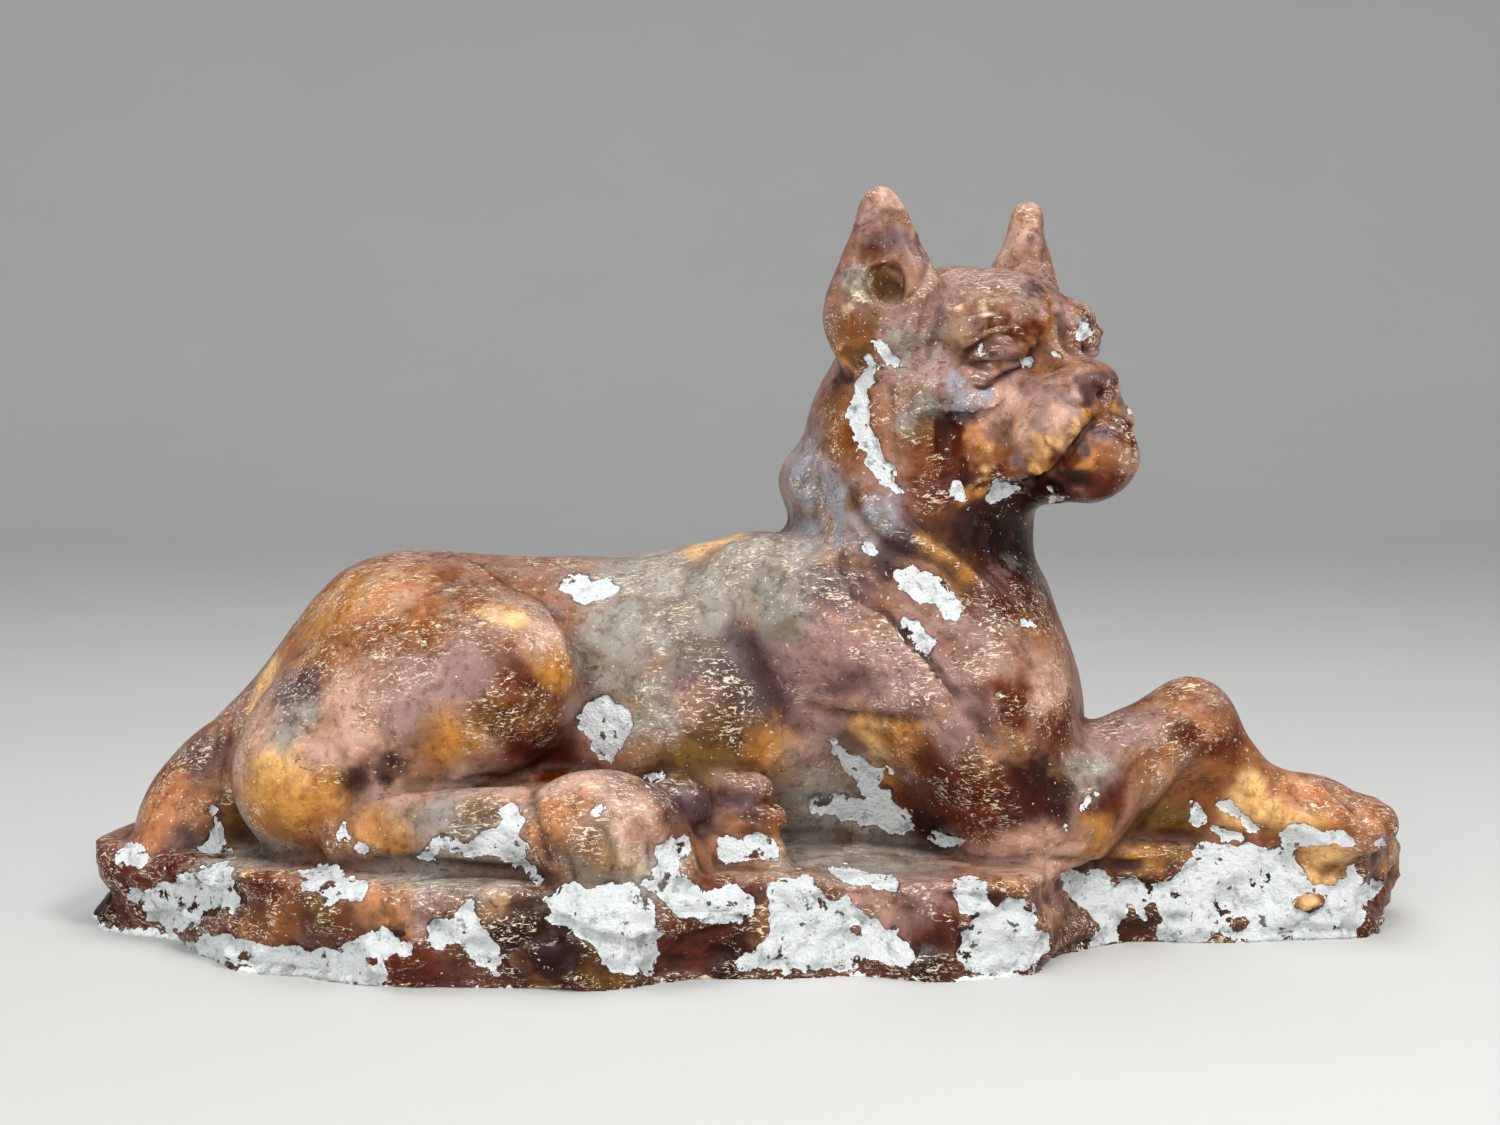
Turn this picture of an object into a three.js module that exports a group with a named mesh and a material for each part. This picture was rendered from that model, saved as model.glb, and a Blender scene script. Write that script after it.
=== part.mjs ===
// A plaster dog lying on a rock plinth, cast in one piece with it.
// Millimetres, +Z up. The dog looks along +X, and its right flank is on the -Y side.
// The origin is under the middle of the plinth.
import * as THREE from 'three';
import { edgeTable, triTable } from 'three/addons/objects/MarchingCubes.js';
import { SimplifyModifier } from 'three/addons/modifiers/SimplifyModifier.js';

// Plinth
const plinthLength = 510;
const plinthWidth = 204;
const plinthHeight = 36;
const edgeRounding = 7;
const rockRelief = 3.5;
const rockWaveLength = 62;

// Dog, measured from the plinth's top to the tips of the ears
const dogHeight = 250;
const headTurn = 45; // degrees to the dog's right
const footSink = 3; // how far the dog reaches into the plinth
const footFillet = 7; // where the dog meets the plinth

// Fineness of the faceted surface
const sampleStep = 3;
const surfacePoints = 4700;

// The dog's forms are written for a dog 250 high, whose feet reach 255 from the middle,
// and scaled with dogHeight.
const dogScale = dogHeight / 250;
const dogReach = 255 * dogScale;

// Shapes: functions of a point that give the distance to the skin, below zero inside

// An ellipsoid. turn is degrees about X, Y and Z.
function ball(centre, radii, turn = [0, 0, 0]) {
  const [cx, cy, cz] = centre;
  const [rx, ry, rz] = radii;
  const euler = new THREE.Euler(...turn.map(THREE.MathUtils.degToRad));
  const m = new THREE.Matrix4().makeRotationFromEuler(euler).elements;
  return (x, y, z) => {
    const dx = x - cx;
    const dy = y - cy;
    const dz = z - cz;
    const a = (m[0] * dx + m[1] * dy + m[2] * dz) / rx;
    const b = (m[4] * dx + m[5] * dy + m[6] * dz) / ry;
    const c = (m[8] * dx + m[9] * dy + m[10] * dz) / rz;
    const near = Math.hypot(a, b, c);
    const slope = Math.hypot(a / rx, b / ry, c / rz);
    return slope < 1e-9 ? -Math.min(rx, ry, rz) : near * (near - 1) / slope;
  };
}

// A rounded bar from one ball to another.
function limb(from, fromRadius, to, toRadius) {
  const [ax, ay, az] = from;
  const ux = to[0] - ax;
  const uy = to[1] - ay;
  const uz = to[2] - az;
  const lengthSquared = ux * ux + uy * uy + uz * uz;
  return (x, y, z) => {
    const dx = x - ax;
    const dy = y - ay;
    const dz = z - az;
    const t = THREE.MathUtils.clamp((dx * ux + dy * uy + dz * uz) / lengthSquared, 0, 1);
    const radius = fromRadius + (toRadius - fromRadius) * t;
    return Math.hypot(dx - ux * t, dy - uy * t, dz - uz * t) - radius;
  };
}

// Two distances joined with a fillet of about the given width.
function join(a, b, fillet) {
  const h = Math.max(fillet - Math.abs(a - b), 0) / fillet;
  return Math.min(a, b) - h * h * fillet / 4;
}

// A form is built up in order: add puts clay on, carve takes it off.
class Form {
  constructor() {
    this.steps = [];
  }
  add(fillet, ...shapes) {
    for (const shape of shapes) this.steps.push({ shape, fillet, sign: 1 });
    return this;
  }
  carve(fillet, ...shapes) {
    for (const shape of shapes) this.steps.push({ shape, fillet, sign: -1 });
    return this;
  }
  distance(x, y, z, start = 1e3) {
    let d = start;
    for (const { shape, fillet, sign } of this.steps) {
      d = sign * join(sign * d, shape(x, y, z), fillet);
    }
    return d;
  }
}

// A groove of one width through a run of points.
function groove(width, ...points) {
  return points.slice(1).map((point, i) => limb(points[i], width, point, width));
}

function makeTrunk() {
  return new Form()
    .add(20,
      limb([-128, 4, 57], 51, [8, 4, 58], 49),
      limb([-120, 6, 14], 34, [96, 4, 14], 32),
      ball([2, 2, 60], [56, 55, 52]),
      ball([84, 0, 46], [46, 50, 54]))
    .add(12,
      ball([-24, -22, 50], [40, 38, 46], [0, 20, 0]))
    .add(18,
      limb([-134, 5, 53], 50, [-199, 4, 20], 26),
      ball([-219, 0, 2], [21, 28, 23]),
      ball([-140, 36, 22], [62, 36, 40]))
    .add(12,
      limb([58, 0, 78], 50, [66, -4, 152], 45))
    .add(8,
      ball([26, -6, 138], [15, 22, 13]),
      limb([44, -38, 124], 12, [92, -32, 98], 9),
      limb([92, -32, 98], 9, [104, -8, 96], 7))
    .carve(8,
      ball([-64, -66, 56], [16, 12, 36], [0, 12, 0]),
      ...groove(3, [-202, -42, 64], [-206, -44, 36], [-206, -42, 6]));
}

function makeHindLegs() {
  const thigh = new Form()
    .add(22,
      limb([-156, -34, 30], 38, [-92, -47, 65], 30),
      ball([-126, -20, 58], [46, 38, 46]));
  const nearFoot = new Form()
    .add(10,
      limb([-140, -42, 10], 24, [-46, -42, 8], 22))
    .add(6,
      limb([-142, -66, 13], 14, [-82, -76, 17], 14),
      ball([-51, -78, 14], [31, 21, 23], [0, 10, 0]))
    .add(3,
      limb([-50, -88, 14], 10, [-38, -91, 4], 8),
      limb([-40, -83, 15], 11, [-27, -84, 4], 8.5),
      limb([-36, -71, 15], 11, [-23, -72, 4], 8.5));
  const farFoot = new Form()
    .add(4,
      limb([-60, -48, 12], 13, [-18, -50, 12], 13),
      limb([-48, -60, 5], 8, [-18, -60, 4], 7),
      ball([-28, -60, 22], [14, 12, 11]))
    .add(2,
      limb([-18, -54, 28], 6.5, [2, -56, 26], 6.5),
      limb([-16, -59, 17], 6.5, [7, -61, 16], 6.5),
      limb([-16, -62, 6], 6.5, [7, -63, 5], 6.5));
  return [[thigh, 6], [farFoot, 4], [nearFoot, 5]];
}

function makeForelegs() {
  const shoulder = new Form()
    .add(20,
      limb([4, -26, 98], 20, [30, -36, 82], 26),
      limb([30, -36, 82], 26, [84, -36, 56], 33),
      limb([84, -36, 56], 31, [98, -38, 26], 26),
      ball([84, -12, 80], [32, 38, 32]))
    .carve(9,
      ...groove(3, [46, -66, 96], [63, -71, 80], [76, -74, 62], [89, -75, 42]));
  const farShoulder = new Form()
    .add(20,
      limb([2, 26, 96], 18, [40, 34, 76], 26),
      limb([40, 34, 76], 26, [84, 32, 58], 30));
  const near = new Form()
    .add(10,
      limb([92, -46, 12], 15, [118, -40, 14], 19),
      limb([118, -38, 20], 23, [167, -25, 46.5], 15),
      limb([167, -25, 46], 15, [191, -22, 20], 12),
      ball([209, -18, 10], [30, 18, 16], [0, 4, 0]))
    .add(3,
      limb([210, -30, 10], 9, [232, -32, 5], 8),
      limb([212, -23, 13], 10, [239, -23, 7], 9),
      limb([212, -12, 13], 10, [239, -11, 7], 9),
      limb([208, -4, 10], 9, [232, -2, 5], 8));
  const web = new Form()
    .add(12,
      limb([126, -14, 6], 18, [160, -16, 22], 16),
      limb([160, -16, 22], 16, [190, -12, 6], 16));
  const far = new Form()
    .add(12,
      limb([84, 34, 60], 30, [96, 40, 24], 24),
      limb([96, 40, 22], 22, [152, 40, 14], 14),
      ball([176, 40, 9], [22, 16, 12]))
    .add(3,
      limb([176, 32, 9], 8, [199, 30, 4], 7.5),
      limb([178, 40, 11], 8.5, [205, 40, 5], 8),
      limb([176, 48, 9], 8, [199, 50, 4], 7.5));
  return [[shoulder, 12], [farShoulder, 14], [web, 8], [near, 8], [far, 10]];
}

// The head is symmetrical, and written forward, outward and up from a point between the ears.
const headCentre = [80, -2, 179];

function makeHead() {
  return new Form()
    .add(14,
      ball([-4, 0, 6], [42, 38, 35]),
      ball([24, 0, 12], [28, 28, 25]),
      ball([8, 26, -16], [30, 16, 25]),
      limb([8, 0, -26], 24, [44, 0, -32], 17),
      limb([30, 0, -6], 20, [54, 0, -9], 15))
    .add(7,
      limb([28, 30, 15], 7, [37, 22, 18], 7.5),
      limb([37, 22, 18], 7.5, [42, 10, 17], 7),
      limb([12, 34, -5], 7, [34, 29, -7], 7),
      ball([52, 13, -20], [19, 14, 16]),
      ball([62, 0, -31], [19, 17, 17]))
    .add(5,
      ball([61, 0, -5], [12, 12, 9]),
      limb([50, 20, -24], 7, [40, 22, -33], 5))
    .carve(5,
      ball([44, 34, 3], [8, 9, 5]),
      ball([50, 14, 5], [7, 6, 6]),
      ball([53, 0, 13], [6, 4, 8]),
      ball([30, 40, -22], [12, 7, 14]))
    .carve(2.5,
      ...groove(2.4, [81, 0, -14], [73, 11, -18], [68, 19, -26], [62, 25, -34], [52, 28, -39], [40, 28, -39]))
    .add(2,
      ball([34, 21, 8], [12, 12, 9]),
      limb([32, 34, 11], 3, [43, 29, 15], 3.5),
      limb([43, 29, 15], 3.5, [48, 18, 11], 3));
}

function makeEar() {
  const outward = [0, 0, 45];
  return new Form()
    .add(10,
      ball([1, 43, 22], [13, 22, 24], outward),
      ball([-5, 38, 20], [19, 19, 20], outward),
      limb([-1, 42, 28], 14, [-1, 44, 62], 6.5))
    .add(4,
      limb([9, 32, 26], 9, [2, 41, 58], 5),
      limb([-9, 50, 22], 9, [-3, 46, 58], 5.5))
    .carve(4,
      ball([13, 55, 38], [9, 12, 28], outward),
      ball([8, 50, 20], [8, 7, 9], outward));
}

const trunk = makeTrunk();
const legs = [...makeHindLegs(), ...makeForelegs()];
const head = makeHead();
const ear = makeEar();
const headCos = Math.cos(THREE.MathUtils.degToRad(headTurn));
const headSin = Math.sin(THREE.MathUtils.degToRad(headTurn));

function headDistance(x, y, z) {
  const dx = x - headCentre[0];
  const dy = y - headCentre[1];
  const forward = dx * headCos - dy * headSin;
  const outward = Math.abs(dx * headSin + dy * headCos);
  const up = z - headCentre[2];
  return join(head.distance(forward, outward, up), ear.distance(forward, outward, up), 7);
}

function dogDistance(x, y, z) {
  let d = trunk.distance(x, y, z);
  for (const [leg, fillet] of legs) d = join(d, leg.distance(x, y, z), fillet);
  return join(d, headDistance(x, y, z), 12);
}

// The plinth's plan, as shares of its half length and half width
const planPoints = [
  [-1, -0.1], [-0.93, -0.24], [-0.84, -0.4], [-0.74, -0.7], [-0.6, -0.88], [-0.38, -1],
  [-0.16, -0.97], [0, -0.84], [0.14, -0.86], [0.36, -0.86], [0.425, -0.76], [0.45, -0.5],
  [0.6, -0.35], [0.88, -0.3], [0.97, -0.1], [1, 0.15], [0.93, 0.5], [0.7, 0.72],
  [0.4, 0.8], [0.1, 1], [-0.3, 0.92], [-0.6, 0.95], [-0.85, 0.7], [-0.97, 0.35],
];

function makePlan() {
  const stops = planPoints.map(([along, across]) =>
    new THREE.Vector3(along * plinthLength / 2, across * plinthWidth / 2, 0));
  return new THREE.CatmullRomCurve3(stops, true, 'centripetal').getPoints(planPoints.length * 3);
}

// Distance in plan to a closed outline, below zero inside.
function outlineDistance(outline, x, y) {
  let nearest = 1e9;
  let inside = false;
  for (let i = 0, j = outline.length - 1; i < outline.length; j = i, i += 1) {
    const a = outline[i];
    const b = outline[j];
    const ex = b.x - a.x;
    const ey = b.y - a.y;
    const wx = x - a.x;
    const wy = y - a.y;
    const t = THREE.MathUtils.clamp((wx * ex + wy * ey) / (ex * ex + ey * ey || 1), 0, 1);
    nearest = Math.min(nearest, Math.hypot(wx - ex * t, wy - ey * t));
    if ((a.y > y) !== (b.y > y) && wx < ex * wy / ey) inside = !inside;
  }
  return inside ? -nearest : nearest;
}

const plan = makePlan();

// A smooth lumpy wave for the rock's broken sides.
function rockWave(x, y, z) {
  const k = 2 * Math.PI / rockWaveLength;
  const [a, b, c] = [k * (x + 0.3 * z), k * (y - 0.2 * x), k * (z * 1.3 + 0.25 * y)];
  return (Math.sin(a) * Math.cos(b) + Math.sin(b) * Math.cos(c) + Math.sin(c) * Math.cos(a)) / 1.5;
}

// Places along the plinth's edge are shares of its half length and half width, and heights are
// shares of its height.
function onPlinth(along, across, up) {
  return [along * plinthLength / 2, across * plinthWidth / 2, up * plinthHeight];
}

// Ledges, steps and a notch that were modelled in the rock
function makeRock() {
  const narrow = plinthHeight / 10;
  const wide = plinthHeight / 6;
  return new Form()
    .carve(narrow,
      ...groove(narrow, onPlinth(-0.9, -0.34, 0.62), onPlinth(-0.78, -0.72, 0.6), onPlinth(-0.64, -0.92, 0.7)),
      ...groove(wide, onPlinth(-0.13, -1.04, 0.2), onPlinth(-0.04, -0.94, 0.24)),
      ...groove(narrow, onPlinth(0.56, -0.4, 0.5), onPlinth(0.72, -0.36, 0.62), onPlinth(0.9, -0.34, 0.55)),
      ...groove(narrow, onPlinth(-0.5, 1, 0.5), onPlinth(-0.2, 0.98, 0.64), onPlinth(0.1, 1.04, 0.5)))
    .add(narrow,
      limb(onPlinth(-0.82, -0.5, 0.8), narrow, onPlinth(-0.74, -0.66, 0.84), narrow),
      limb(onPlinth(-0.14, -0.94, 0.68), wide, onPlinth(-0.02, -0.84, 0.7), wide));
}

const rock = makeRock();

function plinthDistance(x, y, z) {
  const side = outlineDistance(plan, x, y) + rockRelief * rockWave(x, y, z);
  const top = z - plinthHeight + 0.4 * rockRelief * rockWave(x * 0.5, y * 0.5, 0);
  return rock.distance(x, y, z, -join(-side, -top, edgeRounding));
}

function statueDistance(x, y, z) {
  const whole = dogScale * dogDistance(x / dogScale, y / dogScale, (z - plinthHeight) / dogScale);
  const dog = Math.max(whole, plinthHeight - footSink - z);
  return Math.max(join(plinthDistance(x, y, z), dog, footFillet), -z);
}

// The surface where a distance is zero, by marching cubes over a box of samples.
function marchSurface(distance, low, high, step) {
  const counts = low.map((value, i) => Math.ceil((high[i] - value) / step) + 1);
  const [nx, ny, nz] = counts;
  const rowStep = nx;
  const layerStep = nx * ny;
  const field = new Float32Array(nx * ny * nz);
  for (let k = 0, q = 0; k < nz; k += 1) {
    for (let j = 0; j < ny; j += 1) {
      // Far from the surface, one sample stands for the next few.
      for (let i = 0, next = 0; i < nx; i += 1, q += 1) {
        if (i < next) {
          field[q] = field[q - 1];
        } else {
          field[q] = distance(low[0] + i * step, low[1] + j * step, low[2] + k * step);
          next = i + Math.floor(Math.abs(field[q]) / (2 * step));
        }
      }
    }
  }
  // A cube's corners, and its edges as pairs of corners, in the order of the addon's tables
  const floorCorners = [0, 1, 1 + rowStep, rowStep];
  const corners = [...floorCorners, ...floorCorners.map((q) => q + layerStep)];
  const edges = [
    [0, 1], [1, 2], [3, 2], [0, 3], [4, 5], [5, 6], [7, 6], [4, 7], [0, 4], [1, 5], [2, 6], [3, 7],
  ];
  const positions = [];
  const index = [];
  const made = new Map();
  const cornerGap = 0.04; // share of a step that keeps a point off a cube's corner
  const pointOn = (a, b) => {
    const key = a * field.length + b;
    if (!made.has(key)) {
      const t = THREE.MathUtils.clamp(field[a] / (field[a] - field[b]), cornerGap, 1 - cornerGap);
      const at = (q) => [q % nx, Math.floor(q / rowStep) % ny, Math.floor(q / layerStep)];
      const [from, to] = [at(a), at(b)];
      made.set(key, positions.length / 3);
      positions.push(...from.map((value, i) => low[i] + step * (value + t * (to[i] - value))));
    }
    return made.get(key);
  };
  for (let k = 0; k < nz - 1; k += 1) {
    for (let j = 0; j < ny - 1; j += 1) {
      for (let i = 0; i < nx - 1; i += 1) {
        const q = i + j * rowStep + k * layerStep;
        let pattern = 0;
        corners.forEach((offset, n) => {
          if (field[q + offset] < 0) pattern |= 1 << n;
        });
        if (edgeTable[pattern] === 0) continue;
        for (let n = pattern * 16; triTable[n] !== -1; n += 3) {
          const triangle = [0, 2, 1].map((m) => {
            const [a, b] = edges[triTable[n + m]];
            return pointOn(q + corners[a], q + corners[b]);
          });
          index.push(...triangle);
        }
      }
    }
  }
  const geometry = new THREE.BufferGeometry();
  geometry.setAttribute('position', new THREE.Float32BufferAttribute(positions, 3));
  geometry.setIndex(index);
  return geometry;
}

// The largest of a surface's shells, so that no hollow is left sealed inside.
function largestShell(geometry) {
  const index = geometry.index.array;
  const leader = Array.from({ length: geometry.getAttribute('position').count }, (_, i) => i);
  const lead = (i) => {
    while (leader[i] !== i) {
      leader[i] = leader[leader[i]];
      i = leader[i];
    }
    return i;
  };
  for (let n = 0; n < index.length; n += 3) {
    leader[lead(index[n + 1])] = lead(index[n]);
    leader[lead(index[n + 2])] = lead(index[n]);
  }
  const sizes = new Map();
  index.forEach((i) => sizes.set(lead(i), (sizes.get(lead(i)) || 0) + 1));
  const largest = [...sizes.keys()].reduce((a, b) => (sizes.get(a) >= sizes.get(b) ? a : b));
  const shell = new THREE.BufferGeometry();
  shell.setAttribute('position', geometry.getAttribute('position'));
  shell.setIndex(Array.from(index).filter((i) => lead(i) === largest));
  return shell;
}

// The samples start half a step below the underside, which keeps it flat.
const margin = 4 * sampleStep;
const halfLength = Math.max(plinthLength / 2, dogReach) + margin;
const halfWidth = plinthWidth / 2 + margin;
const low = [-halfLength, -halfWidth, -sampleStep / 2];
const high = [halfLength, halfWidth, plinthHeight + dogHeight + margin];
const fine = largestShell(marchSurface(statueDistance, low, high, sampleStep));
const finePoints = fine.getAttribute('position').count;
const faceted = await new SimplifyModifier().modify(fine, finePoints - surfacePoints);

const paintedPlaster = new THREE.MeshStandardMaterial({ color: 0x7d5540, roughness: 0.5, metalness: 0 });
const statue = new THREE.Mesh(faceted, paintedPlaster);
statue.name = 'plaster_dog';

const part = new THREE.Group();
part.add(statue);

export default part;
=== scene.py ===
import math

import bpy
import numpy as np
from mathutils import Matrix, Vector
from mathutils.bvhtree import BVHTree


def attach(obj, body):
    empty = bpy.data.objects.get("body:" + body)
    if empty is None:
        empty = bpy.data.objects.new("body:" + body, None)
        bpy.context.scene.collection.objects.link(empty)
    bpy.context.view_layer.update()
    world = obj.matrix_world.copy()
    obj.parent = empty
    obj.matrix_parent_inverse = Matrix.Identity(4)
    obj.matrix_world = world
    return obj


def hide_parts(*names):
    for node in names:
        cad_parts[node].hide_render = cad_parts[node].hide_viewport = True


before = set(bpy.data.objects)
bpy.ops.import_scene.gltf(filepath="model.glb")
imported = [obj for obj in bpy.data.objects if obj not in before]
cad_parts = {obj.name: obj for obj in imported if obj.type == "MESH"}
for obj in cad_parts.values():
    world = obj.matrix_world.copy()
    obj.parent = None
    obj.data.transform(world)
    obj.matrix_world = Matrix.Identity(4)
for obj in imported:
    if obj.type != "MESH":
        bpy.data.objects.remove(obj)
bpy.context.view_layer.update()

# Camera at the photograph's angle; lengths in mm until a mesh is written

camera = {"lens": 52.0, "sensor": 36.0, "place": (0.0, -841.0, 207.0), "down": 4.446,
          "middle": (750.0, 562.5), "width": 1500}

focal = camera["lens"] / camera["sensor"] * camera["width"]
eye = np.array(camera["place"])
down = math.radians(camera["down"])
ahead = np.array((0, math.cos(down), -math.sin(down)))
above = np.array((0, math.sin(down), math.cos(down)))
across = np.array((1.0, 0, 0))


def toPicture(points):
    rays = points - eye
    depth = rays @ ahead
    return np.stack((camera["middle"][0] + focal * rays[:, 0] / depth,
                     camera["middle"][1] - focal * (rays @ above) / depth), 1), depth


def rayThrough(u, v):
    ray = ahead + across * (u - camera["middle"][0]) / focal + above * (camera["middle"][1] - v) / focal
    return ray / np.linalg.norm(ray)


def addCamera():
    bpy.ops.object.select_all(action="DESELECT")
    bpy.ops.object.camera_add(location=[value / 1000 for value in camera["place"]],
                              rotation=(math.pi / 2 - down, 0, 0))
    made = bpy.context.object
    made.name = "camera"
    made.data.lens = camera["lens"]
    made.data.sensor_width = camera["sensor"]
    made.data.clip_start = 0.02
    bpy.context.scene.camera = made


# Small helpers on arrays of points

def ease(value):
    value = np.clip(value, 0, 1)
    return value * value * (3 - 2 * value)


def lattice(cell, seed):
    mixed = (cell[:, 0] * 73856093) ^ (cell[:, 1] * 19349663) ^ (cell[:, 2] * 83492791) ^ (seed * 2654435761)
    mixed = (mixed ^ (mixed >> 13)) * 1274126177 & 0x7fffffff
    mixed = (mixed ^ (mixed >> 16)) * 668265263 & 0x7fffffff
    return (mixed >> 7 & 0xffff) / 32767.5 - 1


# the noise lies askew, so that its cells never line up with the plinth
skew = np.array(Matrix.Rotation(0.6, 3, "X") @ Matrix.Rotation(0.8, 3, "Y") @ Matrix.Rotation(0.5, 3, "Z"))


def cloud(points, size, seed=1):
    # smooth noise from -1 to 1, with lumps about as wide as size
    place = points @ skew / size + seed * 11.37
    cell = np.floor(place).astype(np.int64)
    part = place - cell
    part = part * part * (3 - 2 * part)
    total = np.zeros(len(points))
    for i in (0, 1):
        for j in (0, 1):
            for k in (0, 1):
                share = (part[:, 0] if i else 1 - part[:, 0]) * (part[:, 1] if j else 1 - part[:, 1])
                share = share * (part[:, 2] if k else 1 - part[:, 2])
                total += share * lattice(cell + np.array((i, j, k)), seed)
    return total


def clouds(points, size, seed=1, layers=3):
    return sum(cloud(points, size / 2 ** layer, seed + layer) / 2 ** layer for layer in range(layers))


# Clay forms: each gives the distance to its surface, and they join with soft fillets

def ball(centre, radii, turn=(0, 0, 0)):
    centre, radii = np.array(centre, float), np.array(radii, float)
    axes = np.eye(3)
    for angle, axis in zip(turn, "XYZ"):
        axes = axes @ np.array(Matrix.Rotation(math.radians(angle), 3, axis))

    def distance(points):
        local = (points - centre) @ axes / radii
        near = np.sqrt((local * local).sum(1))
        slope = np.sqrt(((local / radii) ** 2).sum(1))
        return near * (near - 1) / np.maximum(slope, 1e-9)
    return distance


def limb(start, startRadius, end, endRadius):
    start = np.array(start, float)
    along = np.array(end, float) - start

    def distance(points):
        offset = points - start
        t = np.clip(offset @ along / (along @ along), 0, 1)
        gap = offset - t[:, None] * along
        return np.sqrt((gap * gap).sum(1)) - startRadius - (endRadius - startRadius) * t
    return distance


def groove(width, *points):
    return [limb(points[i], width, points[i + 1], width) for i in range(len(points) - 1)]


def join(a, b, fillet):
    blend = np.maximum(fillet - np.abs(a - b), 0) / fillet
    return np.minimum(a, b) - blend * blend * fillet / 4


def formDistance(steps, points, start=None):
    d = np.full(len(points), 1e3) if start is None else start
    for sign, fillet, *shapes in steps:
        for shape in shapes:
            d = sign * join(sign * d, shape(points), fillet)
    return d


trunk = [
    (1, 20, limb((-128, 4, 57), 51, (8, 4, 58), 49), limb((-120, 6, 14), 34, (96, 4, 14), 32),
     ball((2, 2, 60), (56, 55, 52)), ball((84, 0, 46), (46, 50, 54))),
    (1, 12, ball((-24, -22, 50), (40, 38, 46), (0, 20, 0))),
    (1, 18, limb((-134, 5, 53), 50, (-199, 4, 20), 26), ball((-219, 0, 2), (21, 28, 23)),
     ball((-140, 36, 22), (62, 36, 40))),
    (1, 12, limb((58, 0, 78), 50, (66, -4, 152), 45)),
    (1, 8, ball((26, -6, 138), (15, 22, 13)), limb((44, -38, 124), 12, (92, -32, 98), 9),
     limb((92, -32, 98), 9, (104, -8, 96), 7)),
    (-1, 8, ball((-64, -66, 56), (16, 12, 36), (0, 12, 0)),
     *groove(3, (-202, -42, 64), (-206, -44, 36), (-206, -42, 6))),
]
thigh = [(1, 22, limb((-156, -34, 30), 38, (-92, -47, 65), 30), ball((-126, -20, 58), (46, 38, 46)))]
nearHindFoot = [
    (1, 10, limb((-140, -42, 10), 24, (-46, -42, 8), 22)),
    (1, 6, limb((-142, -66, 13), 14, (-82, -76, 17), 14), ball((-51, -78, 14), (31, 21, 23), (0, 10, 0))),
    (1, 3, limb((-50, -88, 14), 10, (-38, -91, 4), 8), limb((-40, -83, 15), 11, (-27, -84, 4), 8.5),
     limb((-36, -71, 15), 11, (-23, -72, 4), 8.5)),
]
farHindFoot = [
    (1, 4, limb((-60, -48, 12), 13, (-18, -50, 12), 13), limb((-48, -60, 5), 8, (-18, -60, 4), 7),
     ball((-28, -60, 22), (14, 12, 11))),
    (1, 2, limb((-18, -54, 28), 6.5, (2, -56, 26), 6.5), limb((-16, -59, 17), 6.5, (7, -61, 16), 6.5),
     limb((-16, -62, 6), 6.5, (7, -63, 5), 6.5)),
]
shoulder = [
    (1, 20, limb((4, -26, 98), 20, (30, -36, 82), 26), limb((30, -36, 82), 26, (84, -36, 56), 33),
     limb((84, -36, 56), 31, (98, -38, 26), 26), ball((84, -12, 80), (32, 38, 32))),
    (-1, 9, *groove(3, (46, -66, 96), (63, -71, 80), (76, -74, 62), (89, -75, 42))),
]
farShoulder = [(1, 20, limb((2, 26, 96), 18, (40, 34, 76), 26), limb((40, 34, 76), 26, (84, 32, 58), 30))]
nearForeleg = [
    (1, 10, limb((92, -46, 12), 15, (118, -40, 14), 19), limb((118, -38, 20), 23, (167, -25, 46.5), 15),
     limb((167, -25, 46), 15, (191, -22, 20), 12), ball((209, -18, 10), (30, 18, 16), (0, 4, 0))),
    (1, 3, limb((210, -30, 10), 9, (232, -32, 5), 8), limb((212, -23, 13), 10, (239, -23, 7), 9),
     limb((212, -12, 13), 10, (239, -11, 7), 9), limb((208, -4, 10), 9, (232, -2, 5), 8)),
]
foreWeb = [(1, 12, limb((126, -14, 6), 18, (160, -16, 22), 16), limb((160, -16, 22), 16, (190, -12, 6), 16))]
farForeleg = [
    (1, 12, limb((84, 34, 60), 30, (96, 40, 24), 24), limb((96, 40, 22), 22, (152, 40, 14), 14),
     ball((176, 40, 9), (22, 16, 12))),
    (1, 3, limb((176, 32, 9), 8, (199, 30, 4), 7.5), limb((178, 40, 11), 8.5, (205, 40, 5), 8),
     limb((176, 48, 9), 8, (199, 50, 4), 7.5)),
]
legs = [(thigh, 6), (farHindFoot, 4), (nearHindFoot, 5), (shoulder, 12), (farShoulder, 14),
        (foreWeb, 8), (nearForeleg, 8), (farForeleg, 10)]

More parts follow.
